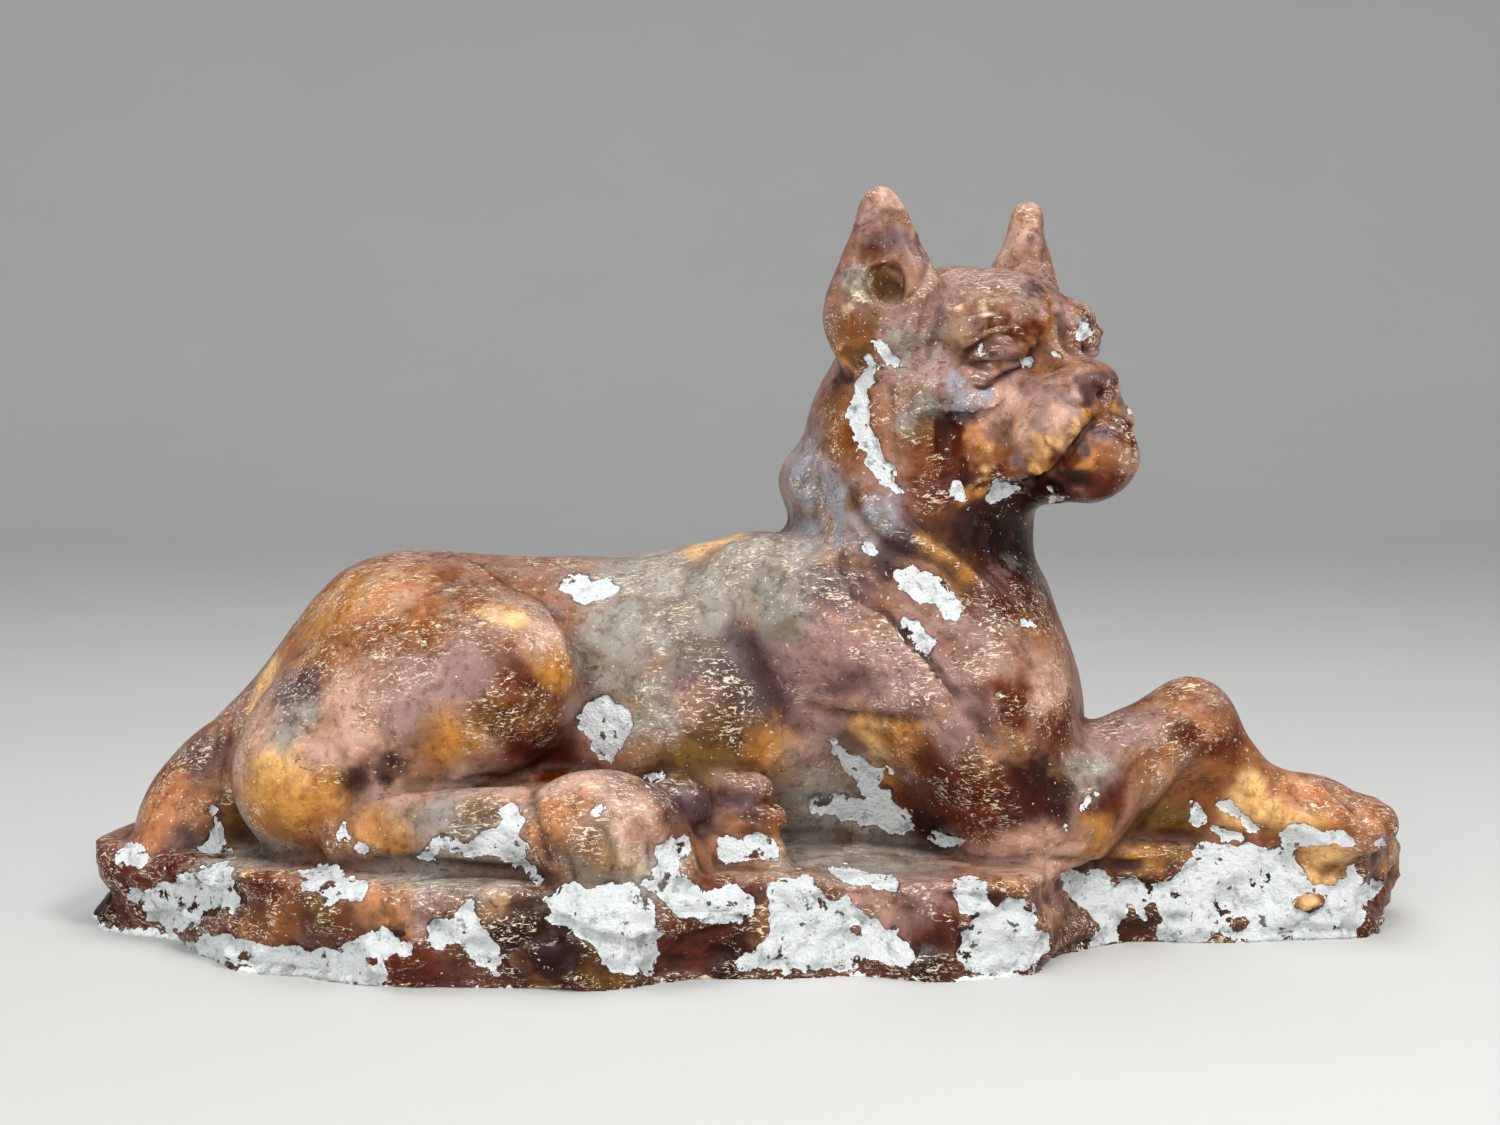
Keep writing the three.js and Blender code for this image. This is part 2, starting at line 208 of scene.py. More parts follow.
# The head in its own axes: forward along the muzzle, outward from its middle, and up
head = [
    (1, 14, ball((-4, 0, 6), (42, 38, 35)), ball((24, 0, 12), (28, 28, 25)), ball((8, 26, -16), (30, 16, 25)),
     limb((8, 0, -26), 24, (44, 0, -32), 17), limb((30, 0, -6), 20, (54, 0, -9), 15)),
    (1, 7, limb((28, 30, 15), 7, (37, 22, 18), 7.5), limb((37, 22, 18), 7.5, (42, 10, 17), 7),
     limb((12, 34, -5), 7, (34, 29, -7), 7), ball((52, 13, -20), (19, 14, 16)), ball((62, 0, -31), (19, 17, 17))),
    (1, 5, ball((61, 0, -5), (12, 12, 9)), limb((50, 20, -24), 7, (40, 22, -33), 5)),
    (-1, 5, ball((44, 34, 3), (8, 9, 5)), ball((50, 14, 5), (7, 6, 6)), ball((53, 0, 13), (6, 4, 8)),
     ball((30, 40, -22), (12, 7, 14))),
    (-1, 2.5, *groove(2.4, (81, 0, -14), (73, 11, -18), (68, 19, -26), (62, 25, -34), (52, 28, -39), (40, 28, -39))),
    (1, 2, ball((34, 21, 8), (12, 12, 9)), limb((32, 34, 11), 3, (43, 29, 15), 3.5),
     limb((43, 29, 15), 3.5, (48, 18, 11), 3)),
]
ear = [
    (1, 10, ball((1, 43, 22), (13, 22, 24), (0, 0, 45)), ball((-5, 38, 20), (19, 19, 20), (0, 0, 45)),
     limb((-1, 42, 28), 14, (-1, 44, 62), 6.5)),
    (1, 4, limb((9, 32, 26), 9, (2, 41, 58), 5), limb((-9, 50, 22), 9, (-3, 46, 58), 5.5)),
    (-1, 4, ball((13, 55, 38), (9, 12, 28), (0, 0, 45)), ball((10, 51, 31), (6, 4, 7), (0, 0, 45))),
]
statue = {"plinthLength": 510, "plinthWidth": 204, "plinthHeight": 36, "edgeRounding": 7, "rockRelief": 3.5,
          "rockWaveLength": 62, "footSink": 3, "footFillet": 7, "headCentre": (80, -2, 179), "headTurn": 45}

headReach = 110  # from the middle of the head to past the tip of the muzzle


def headFrame(points):
    # along the muzzle, across it (positive on the far side) and up
    turn = math.radians(statue["headTurn"])
    x = points[:, 0] - statue["headCentre"][0]
    y = points[:, 1] - statue["headCentre"][1]
    return np.stack((x * math.cos(turn) - y * math.sin(turn), x * math.sin(turn) + y * math.cos(turn),
                     points[:, 2] - statue["headCentre"][2] - statue["plinthHeight"]), 1)


def headMirror(points, asDirection=False):
    # the same place on the other side of the head
    turn = math.radians(statue["headTurn"])
    sideways = np.array((math.sin(turn), math.cos(turn), 0))
    centre = np.array((statue["headCentre"][0], statue["headCentre"][1], 0)) * (0 if asDirection else 1)
    return points - 2 * ((points - centre) @ sideways)[:, None] * sideways


def nearHead(local):
    # above the collar, in the head's own axes
    return (local[:, 2] > -60) & (np.hypot(local[:, 0], local[:, 1]) < headReach)


def dogDistance(points):
    d = formDistance(trunk, points)
    for leg, fillet in legs:
        d = join(d, formDistance(leg, points), fillet)
    lifted = points + np.array((0, 0, statue["plinthHeight"]))
    local = headFrame(lifted)
    local[:, 1] = np.abs(local[:, 1])
    return join(d, join(formDistance(head, local), formDistance(ear, local), 7), 12)


planPoints = [
    (-1, -0.1), (-0.93, -0.24), (-0.84, -0.4), (-0.74, -0.7), (-0.6, -0.88), (-0.38, -1),
    (-0.16, -0.97), (0, -0.84), (0.14, -0.86), (0.36, -0.86), (0.425, -0.76), (0.45, -0.5),
    (0.6, -0.35), (0.88, -0.3), (0.97, -0.1), (1, 0.15), (0.93, 0.5), (0.7, 0.72),
    (0.4, 0.8), (0.1, 1), (-0.3, 0.92), (-0.6, 0.95), (-0.85, 0.7), (-0.97, 0.35),
]


def curveThrough(points, count, closed=False):
    # a smooth curve through the points, count of them for each span
    points = np.array(points, float)
    size = len(points)
    curve = []
    for i in range(size if closed else size - 1):
        p = [points[(i + k) % size] if closed else points[min(max(i + k, 0), size - 1)] for k in (-1, 0, 1, 2)]
        for t in np.arange(count) / count:
            curve.append(0.5 * (2 * p[1] + (p[2] - p[0]) * t + (2 * p[0] - 5 * p[1] + 4 * p[2] - p[3]) * t * t
                                + (3 * p[1] - p[0] - 3 * p[2] + p[3]) * t ** 3))
    if not closed:
        curve.append(points[-1])
    return np.array(curve)


def insideDistance(outline, places):
    # positive inside the closed outline, in the outline's own units
    nearest = np.full(len(places), 1e9)
    inside = np.zeros(len(places), bool)
    for a, b in zip(outline, np.roll(outline, -1, 0)):
        edge = b - a
        offset = places - a
        t = np.clip(offset @ edge / max(edge @ edge, 1e-9), 0, 1)
        gap = offset - t[:, None] * edge
        nearest = np.minimum(nearest, (gap * gap).sum(1))
        if edge[1]:
            crossing = (a[1] > places[:, 1]) != (b[1] > places[:, 1])
            inside ^= crossing & (offset[:, 0] < edge[0] * offset[:, 1] / edge[1])
    return np.where(inside, 1, -1) * np.sqrt(nearest)


plan = curveThrough([(along * statue["plinthLength"] / 2, wide * statue["plinthWidth"] / 2)
                     for along, wide in planPoints], 3, closed=True)


def onPlinth(along, wide, up):
    return (along * statue["plinthLength"] / 2, wide * statue["plinthWidth"] / 2, up * statue["plinthHeight"])


narrow = statue["plinthHeight"] / 10
wide = statue["plinthHeight"] / 6
rock = [
    (-1, narrow, *groove(narrow, onPlinth(-0.9, -0.34, 0.62), onPlinth(-0.78, -0.72, 0.6), onPlinth(-0.64, -0.92, 0.7)),
     *groove(wide, onPlinth(-0.13, -1.04, 0.2), onPlinth(-0.04, -0.94, 0.24)),
     *groove(narrow, onPlinth(0.56, -0.4, 0.5), onPlinth(0.72, -0.36, 0.62), onPlinth(0.9, -0.34, 0.55)),
     *groove(narrow, onPlinth(-0.5, 1, 0.5), onPlinth(-0.2, 0.98, 0.64), onPlinth(0.1, 1.04, 0.5))),
    (1, narrow, limb(onPlinth(-0.82, -0.5, 0.8), narrow, onPlinth(-0.74, -0.66, 0.84), narrow),
     limb(onPlinth(-0.14, -0.94, 0.68), wide, onPlinth(-0.02, -0.84, 0.7), wide)),
]


def rockWave(x, y, z):
    k = 2 * math.pi / statue["rockWaveLength"]
    a, b, c = k * (x + 0.3 * z), k * (y - 0.2 * x), k * (1.3 * z + 0.25 * y)
    return (np.sin(a) * np.cos(b) + np.sin(b) * np.cos(c) + np.sin(c) * np.cos(a)) / 1.5


def plinthDistance(points):
    x, y, z = points.T
    side = -insideDistance(plan, points[:, :2]) + statue["rockRelief"] * rockWave(x, y, z)
    top = z - statue["plinthHeight"] + 0.4 * statue["rockRelief"] * rockWave(x * 0.5, y * 0.5, 0 * z)
    return formDistance(rock, points, -join(-side, -top, statue["edgeRounding"]))


def statueDistance(points):
    raised = points - np.array((0, 0, statue["plinthHeight"]))
    dog = np.maximum(dogDistance(raised), statue["plinthHeight"] - statue["footSink"] - points[:, 2])
    return np.maximum(join(plinthDistance(points), dog, statue["footFillet"]), -points[:, 2])


def settle(points, rounds):
    # move points onto the clay surface, and give its normals
    reach = 0.15
    for turn in range(rounds):
        middle = statueDistance(points)
        slope = np.stack([(statueDistance(points + reach * axis) - middle) / reach for axis in np.eye(3)], 1)
        size = np.maximum((slope * slope).sum(1), 0.05)
        step = np.clip(middle / size, -3, 3)
        points = points - step[:, None] * slope
    return points


# The mesh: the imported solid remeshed, then settled on the smooth forms

mesh = {"voxel": 1.9, "triangles": 196000}


def readPoints(piece):
    flat = np.empty(len(piece.data.vertices) * 3)
    piece.data.vertices.foreach_get("co", flat)
    return flat.reshape(-1, 3) * 1000


def writePoints(piece, points):
    piece.data.vertices.foreach_set("co", (points / 1000).astype(np.float32).ravel())
    piece.data.update()


def readNormals(piece):
    flat = np.empty(len(piece.data.vertices) * 3, np.float32)
    piece.data.vertices.foreach_get("normal", flat)
    return flat.reshape(-1, 3).astype(float)


def applyModifier(piece, kind, **settings):
    modifier = piece.modifiers.new(kind.lower(), kind)
    for name, value in settings.items():
        setattr(modifier, name, value)
    bpy.context.view_layer.objects.active = piece
    bpy.ops.object.modifier_apply(modifier=modifier.name)


def edgePairs(piece):
    pairs = np.empty(len(piece.data.edges) * 2, np.int32)
    piece.data.edges.foreach_get("vertices", pairs)
    return pairs.reshape(-1, 2)


def relaxed(values, pairs, rounds):
    # each point takes the mean of its neighbours
    size = len(values)
    count = np.bincount(pairs.ravel(), minlength=size)
    count = np.maximum(count, 1)
    for turn in range(rounds):
        total = np.zeros_like(values)
        for column in range(values.shape[1]):
            total[:, column] = (np.bincount(pairs[:, 0], values[pairs[:, 1], column], size)
                                + np.bincount(pairs[:, 1], values[pairs[:, 0], column], size))
        values = values * 0.4 + total / count[:, None] * 0.6
    return values


def makeBody():
    bpy.ops.object.select_all(action="DESELECT")
    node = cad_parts["plaster_dog"]
    piece = bpy.data.objects.new("dog_casting", node.data.copy())
    bpy.context.collection.objects.link(piece)
    piece.select_set(True)
    bpy.context.view_layer.objects.active = piece
    bpy.ops.object.mode_set(mode="EDIT")
    bpy.ops.mesh.select_all(action="SELECT")
    bpy.ops.mesh.remove_doubles(threshold=0.00001)
    bpy.ops.object.mode_set(mode="OBJECT")
    applyModifier(piece, "REMESH", mode="VOXEL", voxel_size=mesh["voxel"] / 1000, use_smooth_shade=True)
    writePoints(piece, settle(readPoints(piece), 2))
    # the head takes finer carving, so its faces are split once
    local = headFrame(readPoints(piece))
    inHead = (local[:, 2] > -62) & (local[:, 0] > -12) & (np.hypot(local[:, 0], local[:, 1]) < 100)
    inHead |= local[:, 2] > 5
    bpy.ops.object.mode_set(mode="EDIT")
    bpy.ops.mesh.select_all(action="DESELECT")
    bpy.ops.object.mode_set(mode="OBJECT")
    for polygon in piece.data.polygons:
        polygon.select = all(inHead[i] for i in polygon.vertices)
    bpy.ops.object.mode_set(mode="EDIT")
    bpy.ops.mesh.select_mode(type="FACE")
    bpy.ops.mesh.subdivide(number_cuts=1)
    bpy.ops.mesh.select_all(action="SELECT")
    bpy.ops.mesh.quads_convert_to_tris()
    bpy.ops.object.mode_set(mode="OBJECT")
    points = settle(readPoints(piece), 1)
    points = settle(points * 0.5 + relaxed(points, edgePairs(piece), 2) * 0.5, 1)
    points[:, 2] = np.maximum(points[:, 2], 0)
    writePoints(piece, points)
    return piece


# Carving strokes. Routes are places in the photograph, laid on the surface they meet.
# "cut" is a rounded line, "ridge" a raised one, and "step" raises the left of its route.
# Each has a depth and a width in mm, and a step also how far its raised side carries.

faceStrokes = [
    ("ridge", 1.2, 3.0, (930, 350, 940, 328, 955, 311, 975, 304, 1000, 302, 1022, 304, 1036, 310, 1047, 322,
                         1050, 338)),
    ("ridge", 1.8, 3.6, (1008, 316, 1022, 315, 1034, 322, 1041, 336)),
    ("cut", 1.5, 1.5, (962, 315, 975, 311, 990, 310, 1006, 313)),
    ("cut", 2.2, 1.3, (964, 344, 972, 336, 982, 329, 991, 325, 1002, 323, 1014, 327)),
    ("ridge", 1.3, 1.8, (966, 349, 977, 339, 990, 331, 1004, 328, 1018, 331, 1032, 341)),
    ("cut", 1.9, 1.1, (953, 374, 961, 362, 969, 350, 984, 339, 1000, 334, 1015, 336, 1027, 343, 1034, 353)),
    ("cut", 1.4, 1.1, (962, 364, 985, 363, 1005, 362, 1020, 360, 1034, 354)),
    ("ridge", 1.3, 2.2, (966, 373, 990, 375, 1010, 369, 1030, 361)),
    ("cut", 2.4, 1.5, (968, 384, 984, 388, 995, 380, 1008, 372, 1022, 366, 1036, 362)),
    ("ridge", 1.8, 5.0, (905, 396, 925, 389, 950, 398, 975, 402, 1000, 398, 1018, 388)),
    ("step", 3.0, 2.8, 7, (905, 424, 918, 416, 932, 411, 950, 412, 965, 410, 980, 409, 992, 404, 1008, 396)),
    ("cut", 3.4, 6.0, (953, 420, 947, 440, 946, 465, 950, 488)),
    ("ridge", 1.2, 5.0, (980, 424, 978, 445, 982, 465)),
    ("step", 2.2, 1.3, 6, (968, 498, 974, 488, 986, 481, 1002, 478, 1020, 477, 1038, 474, 1052, 467, 1063, 456,
                          1074, 441, 1085, 427, 1096, 417, 1108, 410)),
    ("cut", 2.2, 1.3, (972, 490, 986, 482, 1002, 479, 1020, 478, 1038, 475, 1052, 468, 1064, 457, 1075, 442,
                       1086, 428, 1097, 418, 1109, 411)),
    ("cut", 1.6, 1.6, (960, 456, 964, 470, 963, 482, 968, 496)),
    ("step", 2.4, 1.3, 5, (1117, 480, 1126, 466, 1129, 448, 1126, 432, 1119, 421, 1109, 414)),
    ("cut", 1.5, 1.3, (1120, 484, 1129, 467, 1132, 448, 1129, 431, 1121, 419, 1110, 412)),
    ("cut", 2.2, 1.8, (1051, 300, 1056, 312, 1060, 326, 1063, 342)),
    ("cut", 0.8, 2.0, (946, 303, 936, 322, 930, 345, 926, 366)),
    ("cut", 0.6, 1.6, (928, 300, 920, 322, 918, 345)),
    ("cut", 1.4, 1.5, (1060, 392, 1070, 402, 1085, 405, 1098, 402)),
    ("cut", 1.2, 1.1, (1118, 394, 1115, 402, 1111, 411)),
    ("cut", 0.8, 1.2, (1050, 372, 1062, 366, 1080, 364)),
    ("ridge", 1.6, 2.2, (842, 288, 856, 297, 872, 304, 890, 309, 908, 303, 926, 290, 945, 277)),
    ("cut", 2.0, 6.0, (884, 205, 878, 225, 874, 245, 880, 262)),
    ("ridge", 1.0, 2.6, (862, 212, 853, 235, 844, 258, 839, 276)),
    ("ridge", 1.0, 2.6, (900, 206, 908, 224, 922, 245, 940, 264)),
    ("cut", 1.4, 1.6, (868, 238, 862, 252, 858, 268)),
    ("cut", 1.0, 1.6, (905, 300, 915, 290, 925, 276, 930, 262)),
    ("cut", 0.9, 1.6, (889, 380, 891, 410, 893, 440, 900, 470)),
]
bodyStrokes = [
    ("step", 2.0, 1.6, 8, (572, 705, 571, 678, 563, 645, 547, 614, 526, 597, 500, 589, 470, 588, 440, 592, 408, 603)),
    ("step", 1.6, 1.6, 6, (512, 592, 488, 574, 468, 561, 446, 555)),
    ("cut", 1.3, 2.0, (238, 688, 231, 712, 226, 745, 220, 775, 219, 805, 224, 832)),
    ("cut", 1.1, 1.4, (222, 700, 216, 730, 212, 762, 209, 795)),
    ("cut", 1.1, 5.0, (711, 614, 735, 638, 751, 655, 768, 690, 792, 724, 812, 756)),
    ("step", 2.2, 1.8, 9, (960, 704, 944, 688, 930, 668, 910, 644, 890, 621, 870, 606)),
    ("cut", 1.2, 1.8, (960, 703, 944, 687, 930, 667, 910, 643, 890, 620, 868, 604, 848, 585, 842, 560, 843, 540)),
    ("cut", 1.4, 4.0, (963, 704, 985, 734, 1004, 762, 1024, 790)),
    ("cut", 1.3, 3.0, (796, 700, 822, 710, 850, 716, 880, 718, 920, 720, 958, 714)),
    ("ridge", 0.9, 4.0, (846, 702, 870, 706, 905, 704, 940, 692)),
    ("cut", 1.6, 2.4, (843, 476, 853, 504, 870, 530, 900, 552, 935, 561, 962, 584, 985, 600)),
    ("ridge", 1.2, 3.4, (856, 480, 872, 506, 900, 530, 932, 548, 962, 566, 990, 590)),
    ("cut", 1.4, 2.4, (902, 500, 915, 522, 935, 540, 962, 556, 1000, 588, 1024, 616)),
    ("cut", 1.0, 1.8, (1018, 640, 1030, 655, 1036, 672)),
    ("cut", 1.2, 3.0, (330, 800, 352, 784, 372, 770, 396, 760)),
    ("cut", 1.6, 1.8, (531, 783, 533, 806, 540, 836, 550, 868)),
    ("cut", 1.2, 1.8, (560, 850, 570, 864, 575, 880)),
    ("cut", 1.6, 1.8, (604, 828, 612, 850, 613, 876)),
    ("cut", 1.6, 1.8, (636, 818, 648, 842, 652, 872)),
    ("cut", 1.4, 1.6, (664, 812, 680, 836, 686, 866)),
    ("cut", 1.4, 1.4, (717, 798, 740, 796, 758, 797, 772, 803, 786, 816)),
    ("cut", 1.4, 1.4, (716, 820, 740, 818, 762, 820, 780, 828, 791, 842)),
    ("cut", 1.4, 1.6, (717, 776, 722, 792, 719, 808, 708, 822, 692, 832)),
    ("cut", 0.9, 1.6, (460, 779, 490, 776, 520, 780, 545, 778)),
    ("cut", 0.8, 1.6, (400, 822, 440, 818, 480, 822, 520, 812)),
    ("cut", 1.3, 1.6, (1323, 776, 1330, 790, 1347, 804, 1362, 822, 1368, 842)),
    ("cut", 1.3, 1.6, (1290, 784, 1300, 802, 1318, 820, 1328, 840)),
    ("cut", 1.1, 1.6, (1258, 800, 1272, 818, 1278, 840)),
    ("cut", 0.9, 1.4, (1238, 792, 1252, 796, 1275, 795, 1300, 790)),
    ("cut", 0.9, 1.6, (1128, 850, 1148, 818, 1172, 788, 1196, 758, 1210, 740)),
    ("ridge", 1.0, 2.4, (1100, 800, 1125, 772, 1146, 746, 1166, 730, 1182, 710)),
    ("cut", 0.9, 3.0, (640, 605, 665, 640, 672, 690, 668, 740)),
]
farStrokes = [
    ("step", 0.9, 3.0, 9, (960, 704, 944, 688, 930, 668, 910, 644, 890, 621, 870, 606)),
    ("cut", 1.0, 5.0, (711, 614, 735, 638, 751, 655, 768, 690, 792, 724, 812, 756)),
    ("cut", 0.8, 3.4, (796, 700, 822, 710, 850, 716, 880, 718, 920, 720, 958, 714)),
]
rockStrokes = [
    ("cut", 1.0, 2.0, (330, 862, 400, 858, 480, 866, 545, 873)),
    ("cut", 0.9, 1.8, (370, 882, 420, 878, 470, 874, 540, 879)),
    ("step", 2.2, 2.0, 10, (540, 903, 580, 925, 620, 936, 665, 930, 700, 930, 765, 925)),
    ("cut", 3.0, 5.0, (676, 938, 700, 946, 726, 962, 735, 984)),
    ("ridge", 1.8, 3.0, (350, 893, 332, 914, 310, 934, 292, 950)),
    ("cut", 1.8, 3.0, (152, 892, 190, 905, 240, 900, 300, 895, 345, 890)),
    ("ridge", 1.6, 4.0, (236, 876, 260, 872, 288, 876)),
    ("cut", 1.6, 2.4, (664, 905, 690, 918, 720, 926, 750, 920)),
    ("cut", 1.2, 2.0, (960, 880, 956, 905, 962, 940, 958, 972)),
    ("cut", 1.4, 2.4, (1085, 905, 1120, 925, 1160, 920, 1200, 935)),
    ("cut", 1.2, 2.0, (1040, 858, 1090, 862, 1130, 868, 1200, 862)),
    ("cut", 1.4, 2.0, (1172, 870, 1182, 900, 1176, 930)),
    ("cut", 0.9, 1.6, (780, 862, 860, 852, 940, 858, 1040, 862)),
]


def layRoute(route, tree):
    # the stroke's smooth route, put on the surface where the camera sees it
    places = curveThrough(np.array(route, float).reshape(-1, 2), 8)
    laid = []
    for u, v in places:
        ray = rayThrough(u, v)
        hit = tree.ray_cast(Vector(eye), Vector(ray))
        if hit[0] is not None and hit[3] < 1100:
            laid.append(np.array(hit[0]))
    return np.array(laid)


def alongRoute(points, normals, route, reach):
    # for the points near a route: how far from it, on which side, and how much of the stroke is felt
    chosen = np.flatnonzero(((points > route.min(0) - reach) & (points < route.max(0) + reach)).all(1))
    near = points[chosen]
    best = np.full(len(chosen), 1e9)
    side = np.zeros(len(chosen))
    share = np.zeros(len(chosen))
    for i in range(len(route) - 1):
        edge = route[i + 1] - route[i]
        length = max(edge @ edge, 1e-9)
        offset = near - route[i]
        t = np.clip(offset @ edge / length, 0, 1)
        gap = offset - t[:, None] * edge
        far = np.sqrt((gap * gap).sum(1))
        closer = far < best
        best = np.where(closer, far, best)
        share = np.where(closer, (i + t) / (len(route) - 1), share)
        left = np.cross(normals[chosen], edge / math.sqrt(length))
        side = np.where(closer, (gap * left).sum(1), side)
    fade = ease(share / 0.16) * ease((1 - share) / 0.16)
    return chosen, best, side, np.where(best < reach, fade, 0)


creases = []


def press(points, normals, route, kind, depth, width, carry, flip):
    # move the points near the route along their normals
    chosen, best, side, fade = alongRoute(points, normals, route, max(width * 3, carry * 3))
    if not len(chosen):
        return
    # cut and step routes are kept for the painted shade along their creases
    if kind != "ridge" and width < 2.6:
        creases.append((route, width, min(depth / 2.4, 1) * (1 if flip > 0 else 0.5)))
    if kind == "step":
        signed = np.sign(side) * best * flip
        rise = ease(signed / width + 0.5) * np.exp(-np.maximum(signed, 0) / carry)
        dip = 0.3 * np.exp(-((signed + width * 0.7) / width) ** 2)
        shape = rise - dip
    else:
        shape = np.exp(-(best / width) ** 2) * (-1 if kind == "cut" else 1)
    points[chosen] += normals[chosen] * (depth * shape * fade)[:, None]


def carve(piece, tree, strokes, mirror=None):
    points = readPoints(piece)
    normals = readNormals(piece)
    for kind, depth, width, *rest in strokes:
        carry = rest[0] if len(rest) > 1 else 0
        route = layRoute(rest[-1], tree)
        if len(route) < 3:
            continue
        press(points, normals, route, kind, depth, width, carry, 1)
        if mirror is not None:
            other = mirror(route)
            other = np.array([np.array(tree.find_nearest(Vector(p))[0]) for p in other])
            press(points, normals, other, kind, depth * 0.6, width, carry, -1)
    points[:, 2] = np.maximum(points[:, 2], 0)
    writePoints(piece, points)


# Regions pressed into the head: edge, depth in mm, how far the middle swells back, outline
hollows = [
    (0.8, 0.7, 3.2, (960, 363, 967, 352, 976, 344, 987, 338, 1000, 334, 1014, 336, 1026, 343, 1032, 351, 1028, 358,
                     1018, 361, 1000, 362, 985, 363, 970, 364)),
    (3.0, 2.2, 0.0, (865, 284, 869, 272, 880, 264, 893, 263, 901, 272, 903, 290, 896, 302, 880, 303, 870, 296)),
    (1.4, 2.6, 0.0, (1094, 383, 1101, 384, 1108, 390, 1108, 398, 1102, 401, 1097, 394)),
]


def pressHollows(piece, tree):
    points = readPoints(piece)
    normals = readNormals(piece)
    local = headFrame(points)
    far = local[:, 1] > 0
    folded = np.where(far[:, None], headMirror(points), points)
    foldedNormals = np.where(far[:, None], headMirror(normals, True), normals)
    facing = ((eye - folded) * foldedNormals).sum(1) > 0
    places, depthHere = toPicture(folded)
    usable = facing & nearHead(local) & (np.abs(local[:, 1]) > 2)
    for edge, depth, swell, outline in hollows:
        shape = curveThrough(np.array(outline, float).reshape(-1, 2), 3, closed=True)
        close = np.flatnonzero(usable & ((places > shape.min(0) - 8) & (places < shape.max(0) + 8)).all(1))
        clear = []
        for i in close:
            toEye = (headMirror(eye[None])[0] if far[i] else eye) - points[i]
            toEye /= np.linalg.norm(toEye)
            clear.append(tree.ray_cast(Vector(points[i] + normals[i] * 0.8), Vector(toEye))[0] is None)
        close = close[np.array(clear, bool)] if len(close) else close
        inside = insideDistance(shape, places[close]) * depthHere[close] / focal
        move = -depth * ease(inside / edge + 0.5) + swell * ease(inside / 4.5) ** 0.8
        if depth > 2:
            move += 1.2 * ease(inside / 2) * cloud(points[close], 3.2, 77)
        points[close] += normals[close] * move[:, None]
    writePoints(piece, points)


def bodyMirror(points):
    return points * np.array((1, -1, 1)) + np.array((0, 6, 0))


